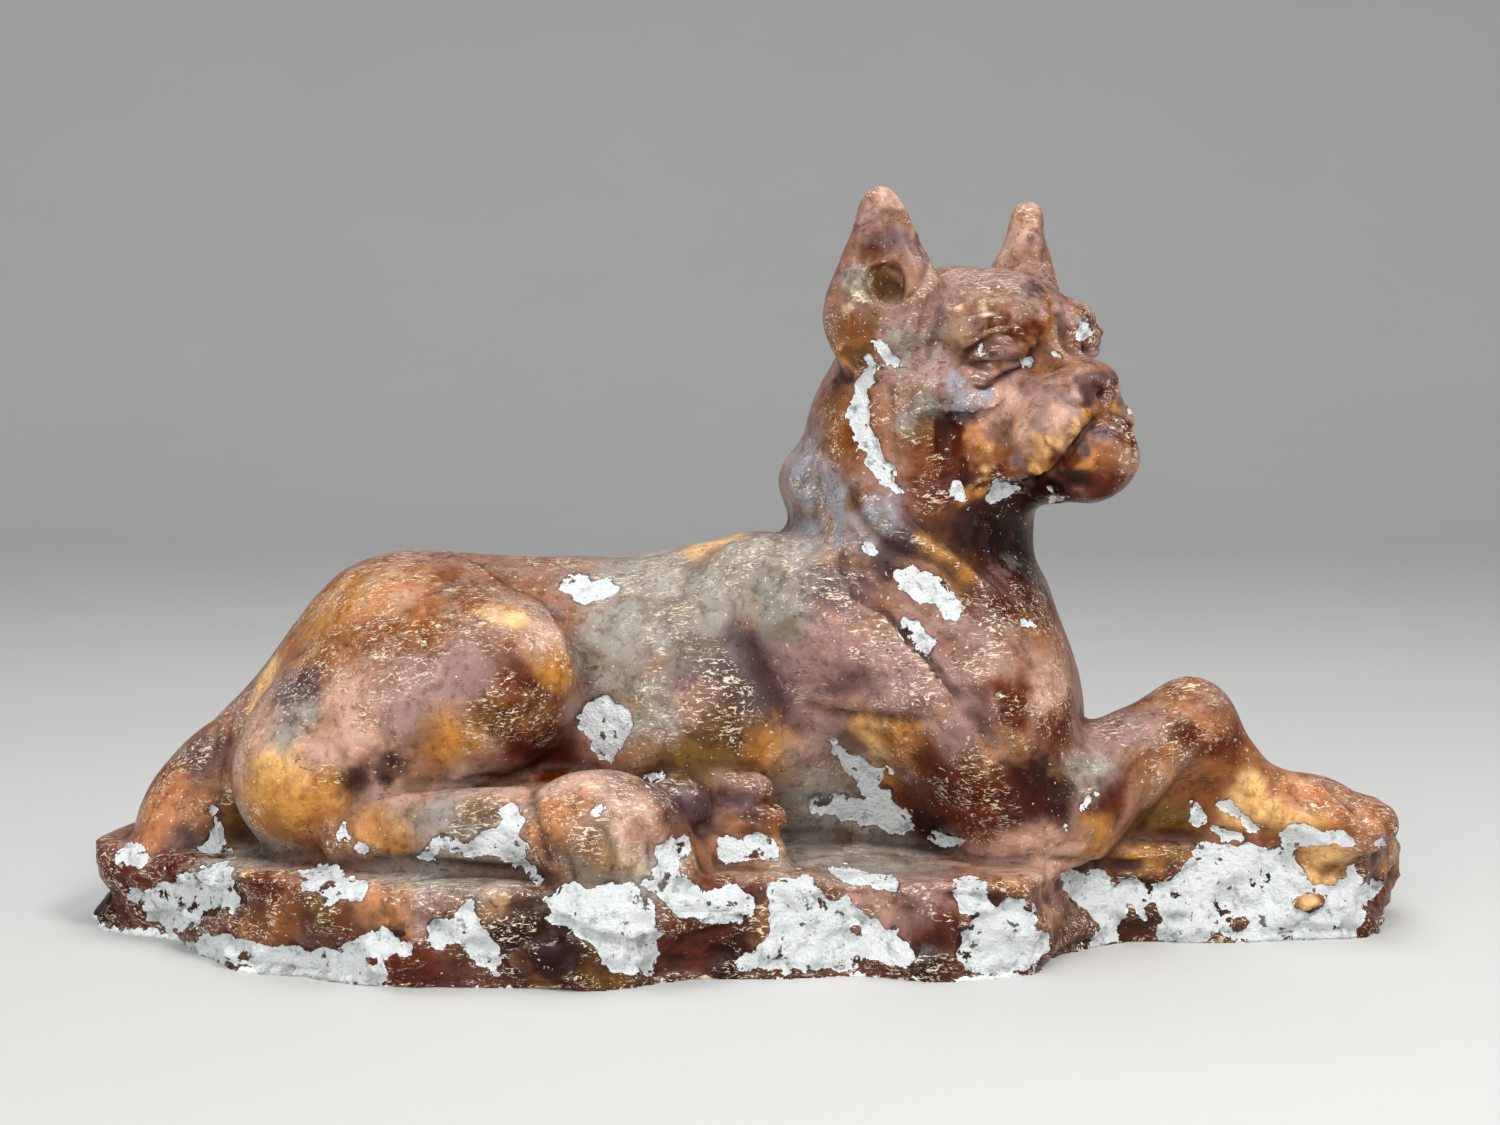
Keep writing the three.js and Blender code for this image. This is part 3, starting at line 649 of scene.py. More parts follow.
# Missing paint: outlines in the photograph, where the bare plaster shows
chips = [    (872, 342, 880, 340, 888, 350, 898, 361, 897, 367, 888, 364, 879, 354),
    (862, 358, 870, 355, 880, 362, 881, 369, 872, 376, 869, 390, 872, 410, 873, 430, 878, 445, 884, 460, 893, 475,
     902, 490, 900, 497, 893, 494, 880, 480, 868, 465, 862, 445, 855, 435, 848, 425, 852, 405, 850, 390, 858, 378,
     863, 368),
    (950, 487, 955, 480, 962, 479, 964, 490, 968, 500, 962, 503, 950, 500),
    (985, 495, 990, 485, 998, 480, 1006, 481, 1022, 487, 1015, 493, 1008, 498, 998, 501, 988, 501),
    (1046, 498, 1055, 495, 1068, 497, 1062, 502, 1050, 502),
    (1047, 487, 1052, 486, 1051, 492),
    (1125, 412, 1130, 406, 1135, 409, 1132, 415, 1127, 415),
    (1076, 333, 1082, 323, 1088, 325, 1092, 333, 1085, 339, 1078, 340),
    (1049, 350, 1055, 351, 1062, 358, 1055, 356),
    (977, 348, 982, 343, 986, 350, 984, 358, 979, 357),
    (1021, 361, 1028, 357, 1032, 360, 1029, 366, 1023, 366),
    (865, 543, 875, 547, 890, 560, 905, 566, 925, 570, 940, 578, 955, 592, 961, 605, 956, 617, 945, 620, 938, 612,
     936, 600, 920, 596, 905, 588, 893, 578, 880, 562, 870, 555),
    (892, 618, 905, 615, 916, 618, 924, 632, 932, 645, 925, 652, 915, 645, 902, 632),
    (1019, 620, 1024, 617, 1030, 620, 1036, 626, 1035, 629, 1027, 627, 1021, 628),
    (557, 588, 568, 578, 578, 574, 592, 578, 612, 580, 618, 592, 606, 602, 580, 604, 568, 598),
    (580, 716, 590, 703, 605, 700, 622, 705, 635, 716, 632, 735, 625, 750, 612, 762, 598, 760, 590, 750, 582, 735),
    (832, 742, 838, 738, 848, 748, 862, 756, 875, 762, 885, 768, 890, 778, 880, 785, 893, 790, 893, 800, 900, 808,
     915, 815, 905, 822, 895, 820, 893, 838, 880, 828, 868, 818, 850, 812, 835, 808, 820, 806, 830, 800, 850, 802,
     865, 800, 860, 790, 848, 778, 840, 765, 832, 752),
    (800, 806, 815, 800, 840, 797, 862, 799, 885, 807, 905, 814, 916, 826, 900, 833, 880, 828, 855, 820, 830, 816,
     808, 814),
    (928, 838, 935, 832, 950, 835, 965, 840, 955, 846, 940, 846),
    (210, 795, 214, 792, 217, 810, 222, 826, 228, 838, 232, 855, 210, 855, 196, 852, 208, 840, 214, 825, 210, 812),
    (333, 832, 340, 821, 348, 822, 352, 832, 365, 843, 368, 850, 360, 855, 350, 845, 338, 842),
    (420, 853, 430, 845, 445, 837, 460, 835, 466, 842, 475, 835, 490, 828, 505, 822, 500, 812, 510, 806, 522, 805,
     526, 815, 524, 830, 524, 845, 530, 858, 538, 870, 540, 878, 525, 868, 510, 860, 490, 858, 470, 862, 445, 855),
    (585, 815, 595, 803, 607, 800, 607, 815, 598, 820, 590, 818),
    (652, 852, 655, 842, 668, 840, 680, 836, 690, 842, 686, 855, 678, 868, 674, 882, 660, 882, 652, 872, 656, 862),
    (715, 848, 718, 838, 725, 834, 740, 837, 755, 835, 768, 840, 776, 848, 774, 860, 755, 862, 735, 862, 718, 860),
    (640, 775, 652, 771, 668, 773, 660, 780, 648, 784, 641, 780),
    (1080, 808, 1084, 798, 1096, 790, 1100, 794, 1090, 802, 1085, 812),
    (1058, 820, 1066, 822, 1072, 830, 1064, 832),
    (1185, 800, 1195, 795, 1200, 805, 1210, 820, 1225, 832, 1240, 838, 1225, 840, 1205, 832, 1195, 820),
    (1218, 805, 1230, 800, 1240, 812, 1252, 822, 1262, 832, 1245, 825, 1230, 815),
    (1283, 835, 1290, 826, 1305, 824, 1320, 832, 1335, 828, 1350, 830, 1358, 845, 1345, 850, 1325, 845, 1300, 842,
     1288, 840),
    (1372, 842, 1382, 838, 1388, 845, 1378, 848),
    (112, 858, 120, 848, 130, 842, 145, 845, 152, 855, 148, 866, 138, 870, 125, 862, 115, 866),
    (160, 882, 180, 875, 205, 868, 235, 868, 232, 880, 226, 890, 236, 898, 245, 905, 232, 912, 220, 905, 205, 912,
     200, 925, 190, 935, 180, 930, 172, 935, 165, 925, 150, 920, 152, 905, 140, 900, 125, 898, 130, 892, 145, 890),
    (300, 872, 315, 868, 335, 868, 345, 878, 360, 880, 368, 880, 360, 895, 345, 897, 325, 912, 310, 908, 325, 898,
     318, 890, 305, 890),
    (185, 945, 205, 935, 225, 925, 240, 940, 260, 940, 280, 948, 300, 950, 330, 945, 350, 940, 365, 930, 385, 925,
     400, 935, 412, 945, 415, 955, 405, 962, 385, 962, 383, 992, 340, 990, 300, 985, 270, 978, 240, 970, 215, 960,
     200, 955),
    (425, 930, 440, 928, 445, 918, 455, 910, 462, 895, 470, 892, 482, 895, 480, 910, 485, 925, 495, 938, 502, 950,
     500, 962, 498, 975, 488, 978, 478, 968, 470, 955, 460, 945, 440, 945, 425, 942),
    (545, 905, 555, 890, 575, 882, 590, 882, 610, 885, 630, 885, 650, 895, 662, 910, 660, 930, 655, 940, 662, 955,
     655, 965, 650, 975, 640, 965, 628, 970, 615, 972, 605, 960, 598, 945, 585, 940, 575, 930, 560, 930, 545, 920),
    (645, 886, 690, 882, 700, 885, 710, 895, 720, 885, 735, 880, 745, 890, 760, 885, 762, 900, 755, 915, 745, 925,
     720, 928, 700, 925, 690, 918, 680, 922, 668, 905),
    (762, 880, 780, 875, 800, 872, 815, 876, 818, 900, 830, 905, 840, 900, 860, 905, 880, 915, 890, 930, 905, 940,
     915, 955, 905, 965, 890, 968, 870, 962, 860, 970, 845, 972, 830, 968, 800, 972, 780, 970, 740, 972, 728, 965,
     735, 955, 760, 945, 770, 938, 765, 915),
    (828, 868, 845, 866, 865, 870, 885, 875, 900, 880, 895, 890, 870, 888, 845, 885, 832, 878),
    (958, 960, 962, 930, 975, 915, 960, 905, 955, 895, 960, 882, 975, 878, 990, 880, 988, 892, 1000, 905, 1010, 895,
     1025, 900, 1030, 920, 1045, 935, 1050, 950, 1040, 960, 1030, 970, 1000, 978, 975, 975),
    (1060, 870, 1078, 870, 1100, 868, 1115, 876, 1135, 880, 1160, 880, 1180, 878, 1185, 862, 1200, 858, 1190, 848,
     1200, 842, 1240, 846, 1290, 848, 1300, 865, 1310, 880, 1330, 885, 1345, 878, 1342, 868, 1355, 862, 1362, 885,
     1385, 885, 1365, 905, 1370, 912, 1350, 945, 1300, 950, 1250, 950, 1230, 935, 1215, 930, 1200, 945, 1170, 945,
     1150, 930, 1130, 905, 1120, 925, 1105, 955, 1090, 955, 1095, 925, 1075, 905, 1060, 890),
]
# painted islands left inside the bare patches
islands = [    (1290, 900, 1305, 892, 1328, 896, 1322, 908, 1310, 913, 1294, 908),
    (1145, 905, 1155, 900, 1162, 920, 1155, 932, 1148, 925),
    (1228, 920, 1245, 915, 1252, 925, 1240, 932, 1230, 930),
    (1110, 875, 1122, 878, 1118, 888, 1110, 884),
    (365, 958, 380, 955, 378, 965, 368, 966),
    (850, 925, 862, 922, 860, 936, 852, 934),
]


def seenFromCamera(points, normals, tree):
    # true where the photograph shows the point, with a little grace behind an edge
    toEye = eye - points
    length = np.sqrt((toEye * toEye).sum(1))
    toEye /= length[:, None]
    facing = (normals * toEye).sum(1)
    seen = facing > -0.15
    for i in np.flatnonzero(seen):
        start = Vector(points[i] + normals[i] * 0.8)
        hit = tree.ray_cast(start, Vector(toEye[i]))
        if hit[0] is not None and hit[3] > 7:
            seen[i] = False
    return seen


def bareness(points, normals, tree):
    # mm inside the nearest patch of bare plaster, negative on the paint
    seen = seenFromCamera(points, normals, tree)
    bare = np.full(len(points), -30.0)
    index = np.flatnonzero(seen)
    places, depth = toPicture(points[index])
    scale = depth / focal
    value = np.full(len(index), -30.0)
    ragged = 2.4 * cloud(points, 8, 9) + 2.1 * cloud(points, 3.8, 10) + 1.1 * cloud(points, 2, 11)
    for outline in chips:
        shape = np.array(outline, float).reshape(-1, 2)
        torn = min(max(min(np.ptp(shape, 0)) * 0.30 / 14, 0.12), 1)
        close = np.flatnonzero(((places > shape.min(0) - 25) & (places < shape.max(0) + 25)).all(1))
        depthIn = insideDistance(shape, places[close]) * scale[close] + torn * ragged[index[close]]
        value[close] = np.maximum(value[close], depthIn)
    for outline in islands:
        shape = np.array(outline, float).reshape(-1, 2)
        close = ((places > shape.min(0) - 25) & (places < shape.max(0) + 25)).all(1)
        value[close] = np.minimum(value[close], -insideDistance(shape, places[close]) * scale[close])
    bare[index] = value
    # sides that the photograph doesn't show are worn in keeping, and less
    blotch = cloud(points, 34, 5) + 0.55 * cloud(points, 15, 6) + 0.3 * cloud(points, 7, 7)
    rockSide = ease((statue["plinthHeight"] - 3 - points[:, 2]) / 5)
    limit = 0.95 - 0.9 * rockSide
    hidden = (blotch - limit) * 14 + 0.6 * ragged
    hidden = np.where(points[:, 2] < 1, -3 + 6 * (cloud(points, 20, 8) > -0.4), hidden)
    bare = np.where(seen, bare, hidden)
    return bare, seen


# Paint tones, and where each lies: place in the photograph, radius in mm, tone, and strength where it isn't 1
tones = {
    "amber": (0.50, 0.275, 0.085), "orange": (0.50, 0.265, 0.135), "ochre": (0.76, 0.53, 0.27),
    "caramel": (0.31, 0.14, 0.050), "russet": (0.15, 0.033, 0.006), "umber": (0.034, 0.007, 0.003),
    "olive": (0.21, 0.13, 0.040), "mauve": (0.365, 0.252, 0.232), "rose": (0.55, 0.385, 0.325),
    "plum": (0.14, 0.092, 0.10), "grey": (0.35, 0.34, 0.315), "slate": (0.33, 0.335, 0.38),
    # cream: painted highlights, small dots on the ridges of the ear and the brow
    "cream": (0.86, 0.73, 0.58),
}
headTones = [    (881, 201, 7, "rose"), (861, 238, 6, "mauve"), (888, 228, 5, "plum"), (898, 211, 3, "plum"),
    (875, 252, 4, "russet"), (912, 238, 6, "mauve"), (928, 262, 6, "mauve"), (885, 284, 6, "olive"),
    (851, 282, 5, "grey"), (844, 299, 3, "cream"), (885, 314, 5, "mauve"), (874, 323, 4, "olive"),
    (857, 337, 4, "caramel"), (846, 318, 3, "caramel"), (840, 352, 3, "amber"), (842, 372, 4, "umber"),
    (862, 352, 4, "olive"), (1012, 225, 9, "rose", 5), (1000, 252, 7, "rose", 4), (1040, 245, 4, "plum", 3),
    (973, 279, 8, "mauve"), (1004, 277, 7, "mauve"), (1024, 289, 5, "plum"), (932, 306, 8, "mauve"),
    (990, 306, 2.5, "cream"), (965, 309, 2, "cream"), (1008, 312, 3, "russet"), (1031, 320, 3, "russet"),
    (1020, 300, 4, "mauve"), (1041, 331, 3, "umber"), (1055, 322, 3, "slate"), (1058, 304, 5, "mauve"),
    (1074, 312, 4, "caramel"), (1024, 334, 3, "mauve"), (975, 330, 4, "mauve"), (1000, 340, 3, "mauve"),
    (1000, 352, 4, "plum", 1.6), (985, 352, 2.5, "rose"), (1016, 352, 3, "mauve"), (1000, 366, 3, "rose"),
    (990, 376, 5, "mauve"), (1018, 374, 5, "mauve"), (945, 340, 6, "grey"), (920, 356, 6, "grey"),
    (940, 362, 6, "mauve"), (936, 376, 5, "mauve"), (956, 390, 4.5, "slate", 1.5), (985, 394, 3.5, "slate"),
    # the plum, umber and russet patches from (968, 405) to (955, 470) are painted shade under the cheekbone and down
    # the cheek hollow
    (968, 405, 3, "plum", 2), (950, 412, 3, "umber", 2), (954, 428, 5, "russet", 2), (949, 455, 6, "russet", 2.5),
    (955, 470, 4, "umber"), (956, 442, 3, "umber"), (920, 410, 6, "grey"), (916, 440, 6, "olive"),
    (922, 462, 5, "caramel"), (905, 425, 5, "grey"), (932, 480, 6, "russet"), (983, 434, 4, "orange", 1.5),
    (985, 440, 2.5, "ochre"), (990, 424, 3, "rose"), (975, 460, 3, "ochre"), (1000, 428, 3, "mauve", 2),
    (970, 490, 4, "amber"), (985, 452, 4, "caramel"), (1010, 408, 6, "rose", 1.5), (1031, 394, 6, "mauve", 1.5),
    (1058, 386, 6, "mauve"), (1079, 380, 4, "rose"), (1096, 378, 4, "plum"), (1050, 402, 3, "rose"),
    (1030, 418, 4.5, "mauve", 2), (1014, 434, 4, "rose", 2), (1006, 454, 3, "mauve", 2), (1066, 398, 4, "mauve", 1.5),
    (1045, 412, 3.5, "rose", 1.5), (1109, 408, 3, "caramel"), (1090, 406, 3, "amber"), (1074, 415, 2.5, "ochre"),
    (1057, 429, 2.5, "ochre"), (1038, 446, 3, "ochre"), (1026, 460, 3, "ochre"), (1043, 464, 3, "amber"),
    (1008, 470, 3, "caramel"), (992, 474, 3, "russet"), (1104, 424, 4, "plum"), (1099, 442, 3, "amber"),
    (1082, 462, 4, "amber"), (1090, 432, 3, "mauve"), (1112, 452, 4, "caramel"), (1126, 440, 4, "russet"),
    (1134, 426, 3, "plum"), (1070, 478, 5, "umber"), (1060, 456, 4, "russet"), (1040, 486, 6, "umber"),
    (1100, 484, 6, "russet"), (1122, 392, 4, "plum"), (1005, 492, 5, "umber"),
]
bodyTones = [    (800, 480, 12, "slate"), (820, 520, 13, "slate"), (875, 515, 8, "slate"), (853, 500, 5, "olive"),
    # the umber patch at (1000, 545) is painted shade on the throat under the head
    (900, 540, 8, "plum"), (930, 556, 5, "amber"), (965, 576, 6, "amber"), (1000, 545, 18, "umber"),
    (1000, 590, 10, "russet"), (718, 545, 9, "ochre"), (760, 550, 12, "grey"), (775, 585, 16, "grey"),
    (820, 580, 11, "plum"), (845, 640, 13, "mauve"), (885, 665, 14, "mauve"), (860, 680, 7, "plum"),
    (960, 640, 14, "mauve"), (1010, 700, 7, "russet"), (1050, 680, 9, "rose"), (1062, 720, 7, "russet"),
    (868, 705, 4, "rose"), (955, 728, 13, "mauve"), (905, 748, 7, "amber"), (870, 735, 6, "ochre"),
    (950, 778, 12, "russet"), (960, 805, 13, "russet"), (1005, 795, 12, "russet"), (905, 800, 9, "russet"),
    (885, 772, 6, "amber"), (990, 765, 6, "rose"), (1035, 790, 11, "umber"), (1050, 842, 8, "rose"),
    (930, 828, 9, "umber"), (700, 640, 13, "grey"), (722, 668, 14, "plum"), (745, 700, 12, "plum"),
    (680, 595, 14, "grey"), (765, 750, 9, "amber"), (715, 738, 11, "olive"), (690, 765, 9, "olive"),
    (645, 700, 13, "grey"), (615, 640, 12, "grey"), (640, 570, 16, "grey"), (700, 700, 9, "rose"),
    (395, 590, 12, "orange"), (335, 605, 14, "amber"), (437, 577, 7, "caramel"), (360, 640, 12, "caramel"),
    (290, 655, 9, "orange"), (298, 690, 8, "plum"), (262, 690, 7, "ochre"), (290, 722, 9, "grey"),
    # the rose patch at (540, 625) is a painted highlight on the thigh's edge
    (350, 705, 12, "rose"), (455, 655, 13, "mauve"), (420, 700, 13, "mauve"), (540, 625, 6, "rose"),
    (556, 752, 7, "russet", 2), (352, 777, 5, "umber"), (396, 760, 5, "umber"), (500, 612, 6, "ochre"),
    (470, 600, 7, "caramel"), (530, 600, 5, "mauve"), (560, 660, 7, "amber"), (425, 630, 8, "caramel"),
    (525, 690, 10, "russet"), (450, 735, 8, "amber"), (510, 722, 7, "olive"), (540, 745, 9, "russet"),
    (275, 800, 12, "amber"), (280, 768, 10, "ochre"), (232, 832, 8, "olive"), (330, 790, 8, "amber"),
    (180, 795, 11, "orange"), (200, 768, 8, "plum"), (152, 820, 9, "orange"), (190, 832, 7, "plum"),
    (330, 745, 9, "rose"), (250, 740, 9, "rose"), (420, 790, 9, "rose"), (390, 830, 7, "amber"),
    (500, 790, 9, "rose"), (470, 812, 6, "olive"), (570, 785, 9, "rose"), (560, 835, 7, "orange"),
    (580, 800, 6, "caramel"), (600, 850, 6, "caramel"), (562, 850, 5, "plum"), (640, 820, 8, "rose"),
    (620, 858, 6, "ochre"), (682, 800, 9, "plum"), (740, 785, 7, "mauve"), (742, 806, 5, "plum"),
    # the mauve patch at (1125, 735) is dusty mauve that is also a painted sky reflection on the forearm's upper plane
    (775, 812, 7, "caramel"), (790, 852, 5, "umber"), (1125, 735, 13, "mauve"), (1090, 780, 9, "grey"),
    (1190, 692, 7, "caramel"), (1215, 702, 5, "mauve"), (1205, 715, 8, "orange"), (1160, 752, 5, "amber"),
    (1135, 765, 6, "caramel"), (1180, 735, 5, "russet"), (1108, 805, 7, "russet"), (1100, 838, 6, "amber"),
    (1220, 748, 8, "russet"), (1158, 812, 7, "olive"), (1250, 760, 7, "caramel"), (1300, 790, 9, "orange"),
    (1350, 788, 7, "rose"), (1288, 815, 7, "ochre"), (1372, 822, 7, "orange"), (1345, 822, 4, "orange"),
    (1205, 778, 7, "caramel"), (1250, 812, 7, "ochre"), (1175, 822, 7, "olive"),
]
rockTones = [    (120, 890, 12, "russet"), (100, 910, 9, "umber"), (180, 860, 9, "russet"), (250, 873, 4, "ochre"),
    (262, 890, 7, "russet"), (285, 925, 10, "caramel"), (330, 912, 6, "olive"), (260, 855, 16, "grey"),
    (450, 862, 20, "grey"), (400, 898, 9, "orange"), (428, 910, 6, "mauve"), (420, 955, 9, "russet"),
    (410, 978, 9, "russet"), (520, 915, 9, "umber"), (560, 950, 13, "umber"), (500, 898, 5, "ochre"),
    (600, 975, 9, "olive"), (700, 940, 9, "russet"), (735, 952, 7, "umber"), (730, 895, 5, "russet"),
    (870, 900, 7, "rose"), (925, 900, 9, "mauve"), (940, 930, 7, "russet"), (930, 955, 7, "umber"),
    (850, 855, 25, "grey"), (1020, 862, 14, "rose"), (1010, 880, 4, "orange"), (1042, 902, 5, "orange"),
    (1070, 900, 7, "olive"), (1100, 908, 7, "olive"), (1150, 858, 5, "amber"), (1188, 856, 4, "orange"),
    (1320, 862, 9, "ochre"), (1312, 900, 5, "ochre"), (1392, 866, 5, "amber"), (620, 868, 14, "grey"),
]


# "ground" is the weight of the plain brown under all patches, "dark" that of the darker brown on the rock,
# "pull" how much wider the dark tones spread, and "depth" and "lift" the contrast of the whole
paintwork = {"ground": 0.04, "dark": 0.10, "pull": 1.7, "depth": 1.4, "lift": 1.22}


def paintColour(points, tree):
    warp = np.stack([6 * cloud(points, 15, seed) + 3.5 * cloud(points, 6, seed + 3) + 1.8 * cloud(points, 2.8, seed + 5)
                     for seed in (21, 31, 41)], 1)
    warped = points + warp
    base = 0.5 + 0.5 * clouds(points, 30, 51)
    weight = np.full(len(points), paintwork["ground"])
    total = base[:, None] * np.array(tones["caramel"]) + (1 - base)[:, None] * np.array(tones["mauve"])
    total *= paintwork["ground"]
    # between its patches the rock is darker than the dog
    dark = paintwork["dark"] * ease((statue["plinthHeight"] - 2 - points[:, 2]) / 4)
    total += dark[:, None] * (np.array(tones["russet"]) + np.array(tones["umber"])) / 2
    weight += dark
    for patches, mirror in ((headTones, headMirror), (bodyTones, bodyMirror), (rockTones, bodyMirror)):
        for u, v, radius, tone, *strength in patches:
            strong = strength[0] if strength else 1
            if tone in ("umber", "russet", "plum"):
                strong *= paintwork["pull"]
            hit = tree.ray_cast(Vector(eye), Vector(rayThrough(u, v)))
            if hit[0] is None:
                continue
            centre = np.array(hit[0])[None]
            for place in (centre, mirror(centre)):
                gap = warped - place
                share = np.exp(-1.5 * (gap * gap).sum(1) / (radius * radius)) * strong
                total += share[:, None] * np.array(tones[tone])
                weight += share
    return (total / weight[:, None]) ** paintwork["depth"] * paintwork["lift"]


def addAttribute(piece, name, values):
    if values.ndim == 1:
        made = piece.data.attributes.new(name, "FLOAT", "POINT")
        made.data.foreach_set("value", values.astype(np.float32))
    else:
        made = piece.data.attributes.new(name, "FLOAT_COLOR", "POINT")
        full = np.ones((len(values), 4), np.float32)
        full[:, :3] = np.clip(values, 0, 1)
        made.data.foreach_set("color", full.ravel())


def treeOf(piece):
    points = readPoints(piece)
    piece.data.calc_loop_triangles()
    corners = np.empty(len(piece.data.loop_triangles) * 3, np.int32)
    piece.data.loop_triangles.foreach_get("vertices", corners)
    return BVHTree.FromPolygons([Vector(p) for p in points], corners.reshape(-1, 3).tolist())


def roughen(piece, tree):
    # hand-worked unevenness, broken rock on the plinth's sides, and the step down to bare plaster
    points = readPoints(piece)
    normals = readNormals(piece)
    onRock = ease((statue["plinthHeight"] + 1 - points[:, 2]) / 6)
    side = onRock * ease(1.3 - normals[:, 2] * 1.6)
    move = 0.35 * cloud(points, 13, 61) + 0.16 * cloud(points, 5.5, 62)
    stretched = points * np.array((1, 1, 1.7))
    ridged = 1 - 2 * np.abs(cloud(stretched, 26, 63))
    broken = 1 - 2 * np.abs(cloud(stretched, 11, 64))
    move += side * (3.0 * ridged + 1.5 * broken + 0.6 * cloud(points, 4.5, 65) - 2.2)
    move += (onRock - side).clip(0) * (0.5 * cloud(points, 22, 66) + 0.3 * cloud(points, 8, 67))
    bare, seen = bareness(points, normals, tree)
    depth = 0.9 + 1.0 * onRock
    grain = (1.0 + 1.6 * onRock) * cloud(points, 8, 68) + (0.8 + 1.2 * onRock) * cloud(points, 3.6, 69)
    move += np.where(bare > -1, ease(bare / 0.9 + 0.5) * (grain - depth), 0)
    keep = ease(points[:, 2] / 2.5)
    points += normals * (move * keep)[:, None]
    # the foot of the plinth is drawn in, so that a shadow line runs under it
    tuck = 3.5 * ease((6 - points[:, 2]) / 6) * ease(1.2 - np.abs(normals[:, 2]) * 1.2)
    points[:, :2] -= normals[:, :2] * tuck[:, None]
    points[:, 2] = np.maximum(points[:, 2], 0)
    writePoints(piece, points)


spikes = {"rounds": 6, "allowed": 0.3}


def drawBackSpikes(piece):
    # crossing strokes leave spikes on the far side of the head
    points = readPoints(piece)
    calm = relaxed(points, edgePairs(piece), spikes["rounds"])
    gap = points - calm
    length = np.sqrt((gap * gap).sum(1))
    local = headFrame(points)
    spiky = (local[:, 1] > 0) & nearHead(local) & (length > spikes["allowed"])
    points[spiky] = calm[spiky] + gap[spiky] * (spikes["allowed"] / length[spiky])[:, None]
    writePoints(piece, points)


def thinOut(piece):
    # down to the wanted number of triangles, and more of them stay in the face
    local = headFrame(readPoints(piece))
    inFace = (local[:, 0] > 0) & (np.abs(local[:, 2]) < 62) & (np.hypot(local[:, 0], local[:, 1]) < headReach)
    group = piece.vertex_groups.new(name="plain")
    group.add(np.flatnonzero(~inFace).tolist(), 1.0, "REPLACE")
    group.add(np.flatnonzero(inFace).tolist(), 0.3, "REPLACE")
    piece.data.calc_loop_triangles()
    applyModifier(piece, "DECIMATE", ratio=min(1, mesh["triangles"] / len(piece.data.loop_triangles)),
                  vertex_group="plain", vertex_group_factor=1.0)


addCamera()
body = makeBody()
print("clay forms settled:", len(body.data.vertices), "points")
tree = treeOf(body)
carve(body, tree, bodyStrokes)
carve(body, tree, farStrokes, bodyMirror)
carve(body, tree, faceStrokes, headMirror)
pressHollows(body, tree)
carve(body, tree, rockStrokes)
drawBackSpikes(body)
print("carving done")
roughen(body, tree)
thinOut(body)
bpy.ops.object.select_all(action="DESELECT")
body.select_set(True)
bpy.context.view_layer.objects.active = body
bpy.ops.object.shade_smooth()
print("casting:", len(body.data.polygons), "triangles")

points = readPoints(body)
normals = readNormals(body)
tree = treeOf(body)
bare, seen = bareness(points, normals, tree)
flat = relaxed(points, edgePairs(body), 14)
addAttribute(body, "paint", paintColour(points, tree))
addAttribute(body, "bare", bare)
addAttribute(body, "crest", ((points - flat) * normals).sum(1))
# upward faces: dust settles there, and the same mask lays a painted sky sheen on the tops
addAttribute(body, "upwardDustAndSheen", ease((normals[:, 2] - 0.2) / 0.7))
# painted shade: dark lines along the carved creases
creaseShade = np.zeros(len(points))
for route, width, strength in creases:
    chosen, best, side, fade = alongRoute(points, normals, route, width * 3)
    creaseShade[chosen] = np.maximum(creaseShade[chosen], 1.25 * strength * fade * np.exp(-(best / (width * 0.6)) ** 2))
addAttribute(body, "creaseShade", creaseShade)
print("paint laid out")


# Materials

class Wire:
    # a socket that adds maths nodes when it is used in an expression
    def __init__(self, maker, socket):
        self.maker = maker
        self.socket = socket

    def maths(self, operation, *others, clamp=False):
        return self.maker.node("Math", {"operation": operation, "use_clamp": clamp}, *([self] + list(others)))

    def __add__(self, other): return self.maths("ADD", other)
    def __radd__(self, other): return self.maths("ADD", other)
    def __sub__(self, other): return self.maths("SUBTRACT", other)
    def __rsub__(self, other): return self.maker.node("Math", {"operation": "SUBTRACT"}, other, self)
    def __mul__(self, other): return self.maths("MULTIPLY", other)
    def __rmul__(self, other): return self.maths("MULTIPLY", other)
    def __truediv__(self, other): return self.maths("DIVIDE", other)
    def __pow__(self, other): return self.maths("POWER", other)

    def clamp(self): return self.maker.node("Math", {"operation": "ADD", "use_clamp": True}, self, 0.0)
    def rise(self, low, high): return self.maker.node("MapRange", {"interpolation_type": "SMOOTHSTEP"}, self, low, high)
    def most(self, other): return self.maths("MAXIMUM", other)
    def least(self, other): return self.maths("MINIMUM", other)


class Maker:
    def __init__(self, name):
        self.material = bpy.data.materials.new(name)
        self.material.use_nodes = True
        self.tree = self.material.node_tree
        self.tree.nodes.clear()

    def node(self, kind, settings=None, *values, output=0, **named):
        made = self.tree.nodes.new("ShaderNode" + kind)
        for name, value in (settings or {}).items():
            setattr(made, name, value)
        sockets = list(enumerate(values)) + [(name.replace("_", " "), value) for name, value in named.items()]
        for place, value in sockets:
            if isinstance(value, Wire):
                self.tree.links.new(value.socket, made.inputs[place])
            else:
                made.inputs[place].default_value = value
        return Wire(self, made.outputs[output]) if made.outputs else None

    def mix(self, factor, first, second, blend="MIX"):
        made = self.tree.nodes.new("ShaderNodeMix")
        made.data_type = "RGBA"
        made.blend_type = blend
        for place, value in ((0, factor), (6, first), (7, second)):
            if isinstance(value, Wire):
                self.tree.links.new(value.socket, made.inputs[place])
            else:
                made.inputs[place].default_value = value if place == 0 else (*value, 1)
        return Wire(self, made.outputs[2])

    def noise(self, place, scale, detail=3.0, roughness=0.55, distortion=0.0):
        return self.node("TexNoise", {}, Vector=place, Scale=scale, Detail=detail, Roughness=roughness,
                         Distortion=distortion)


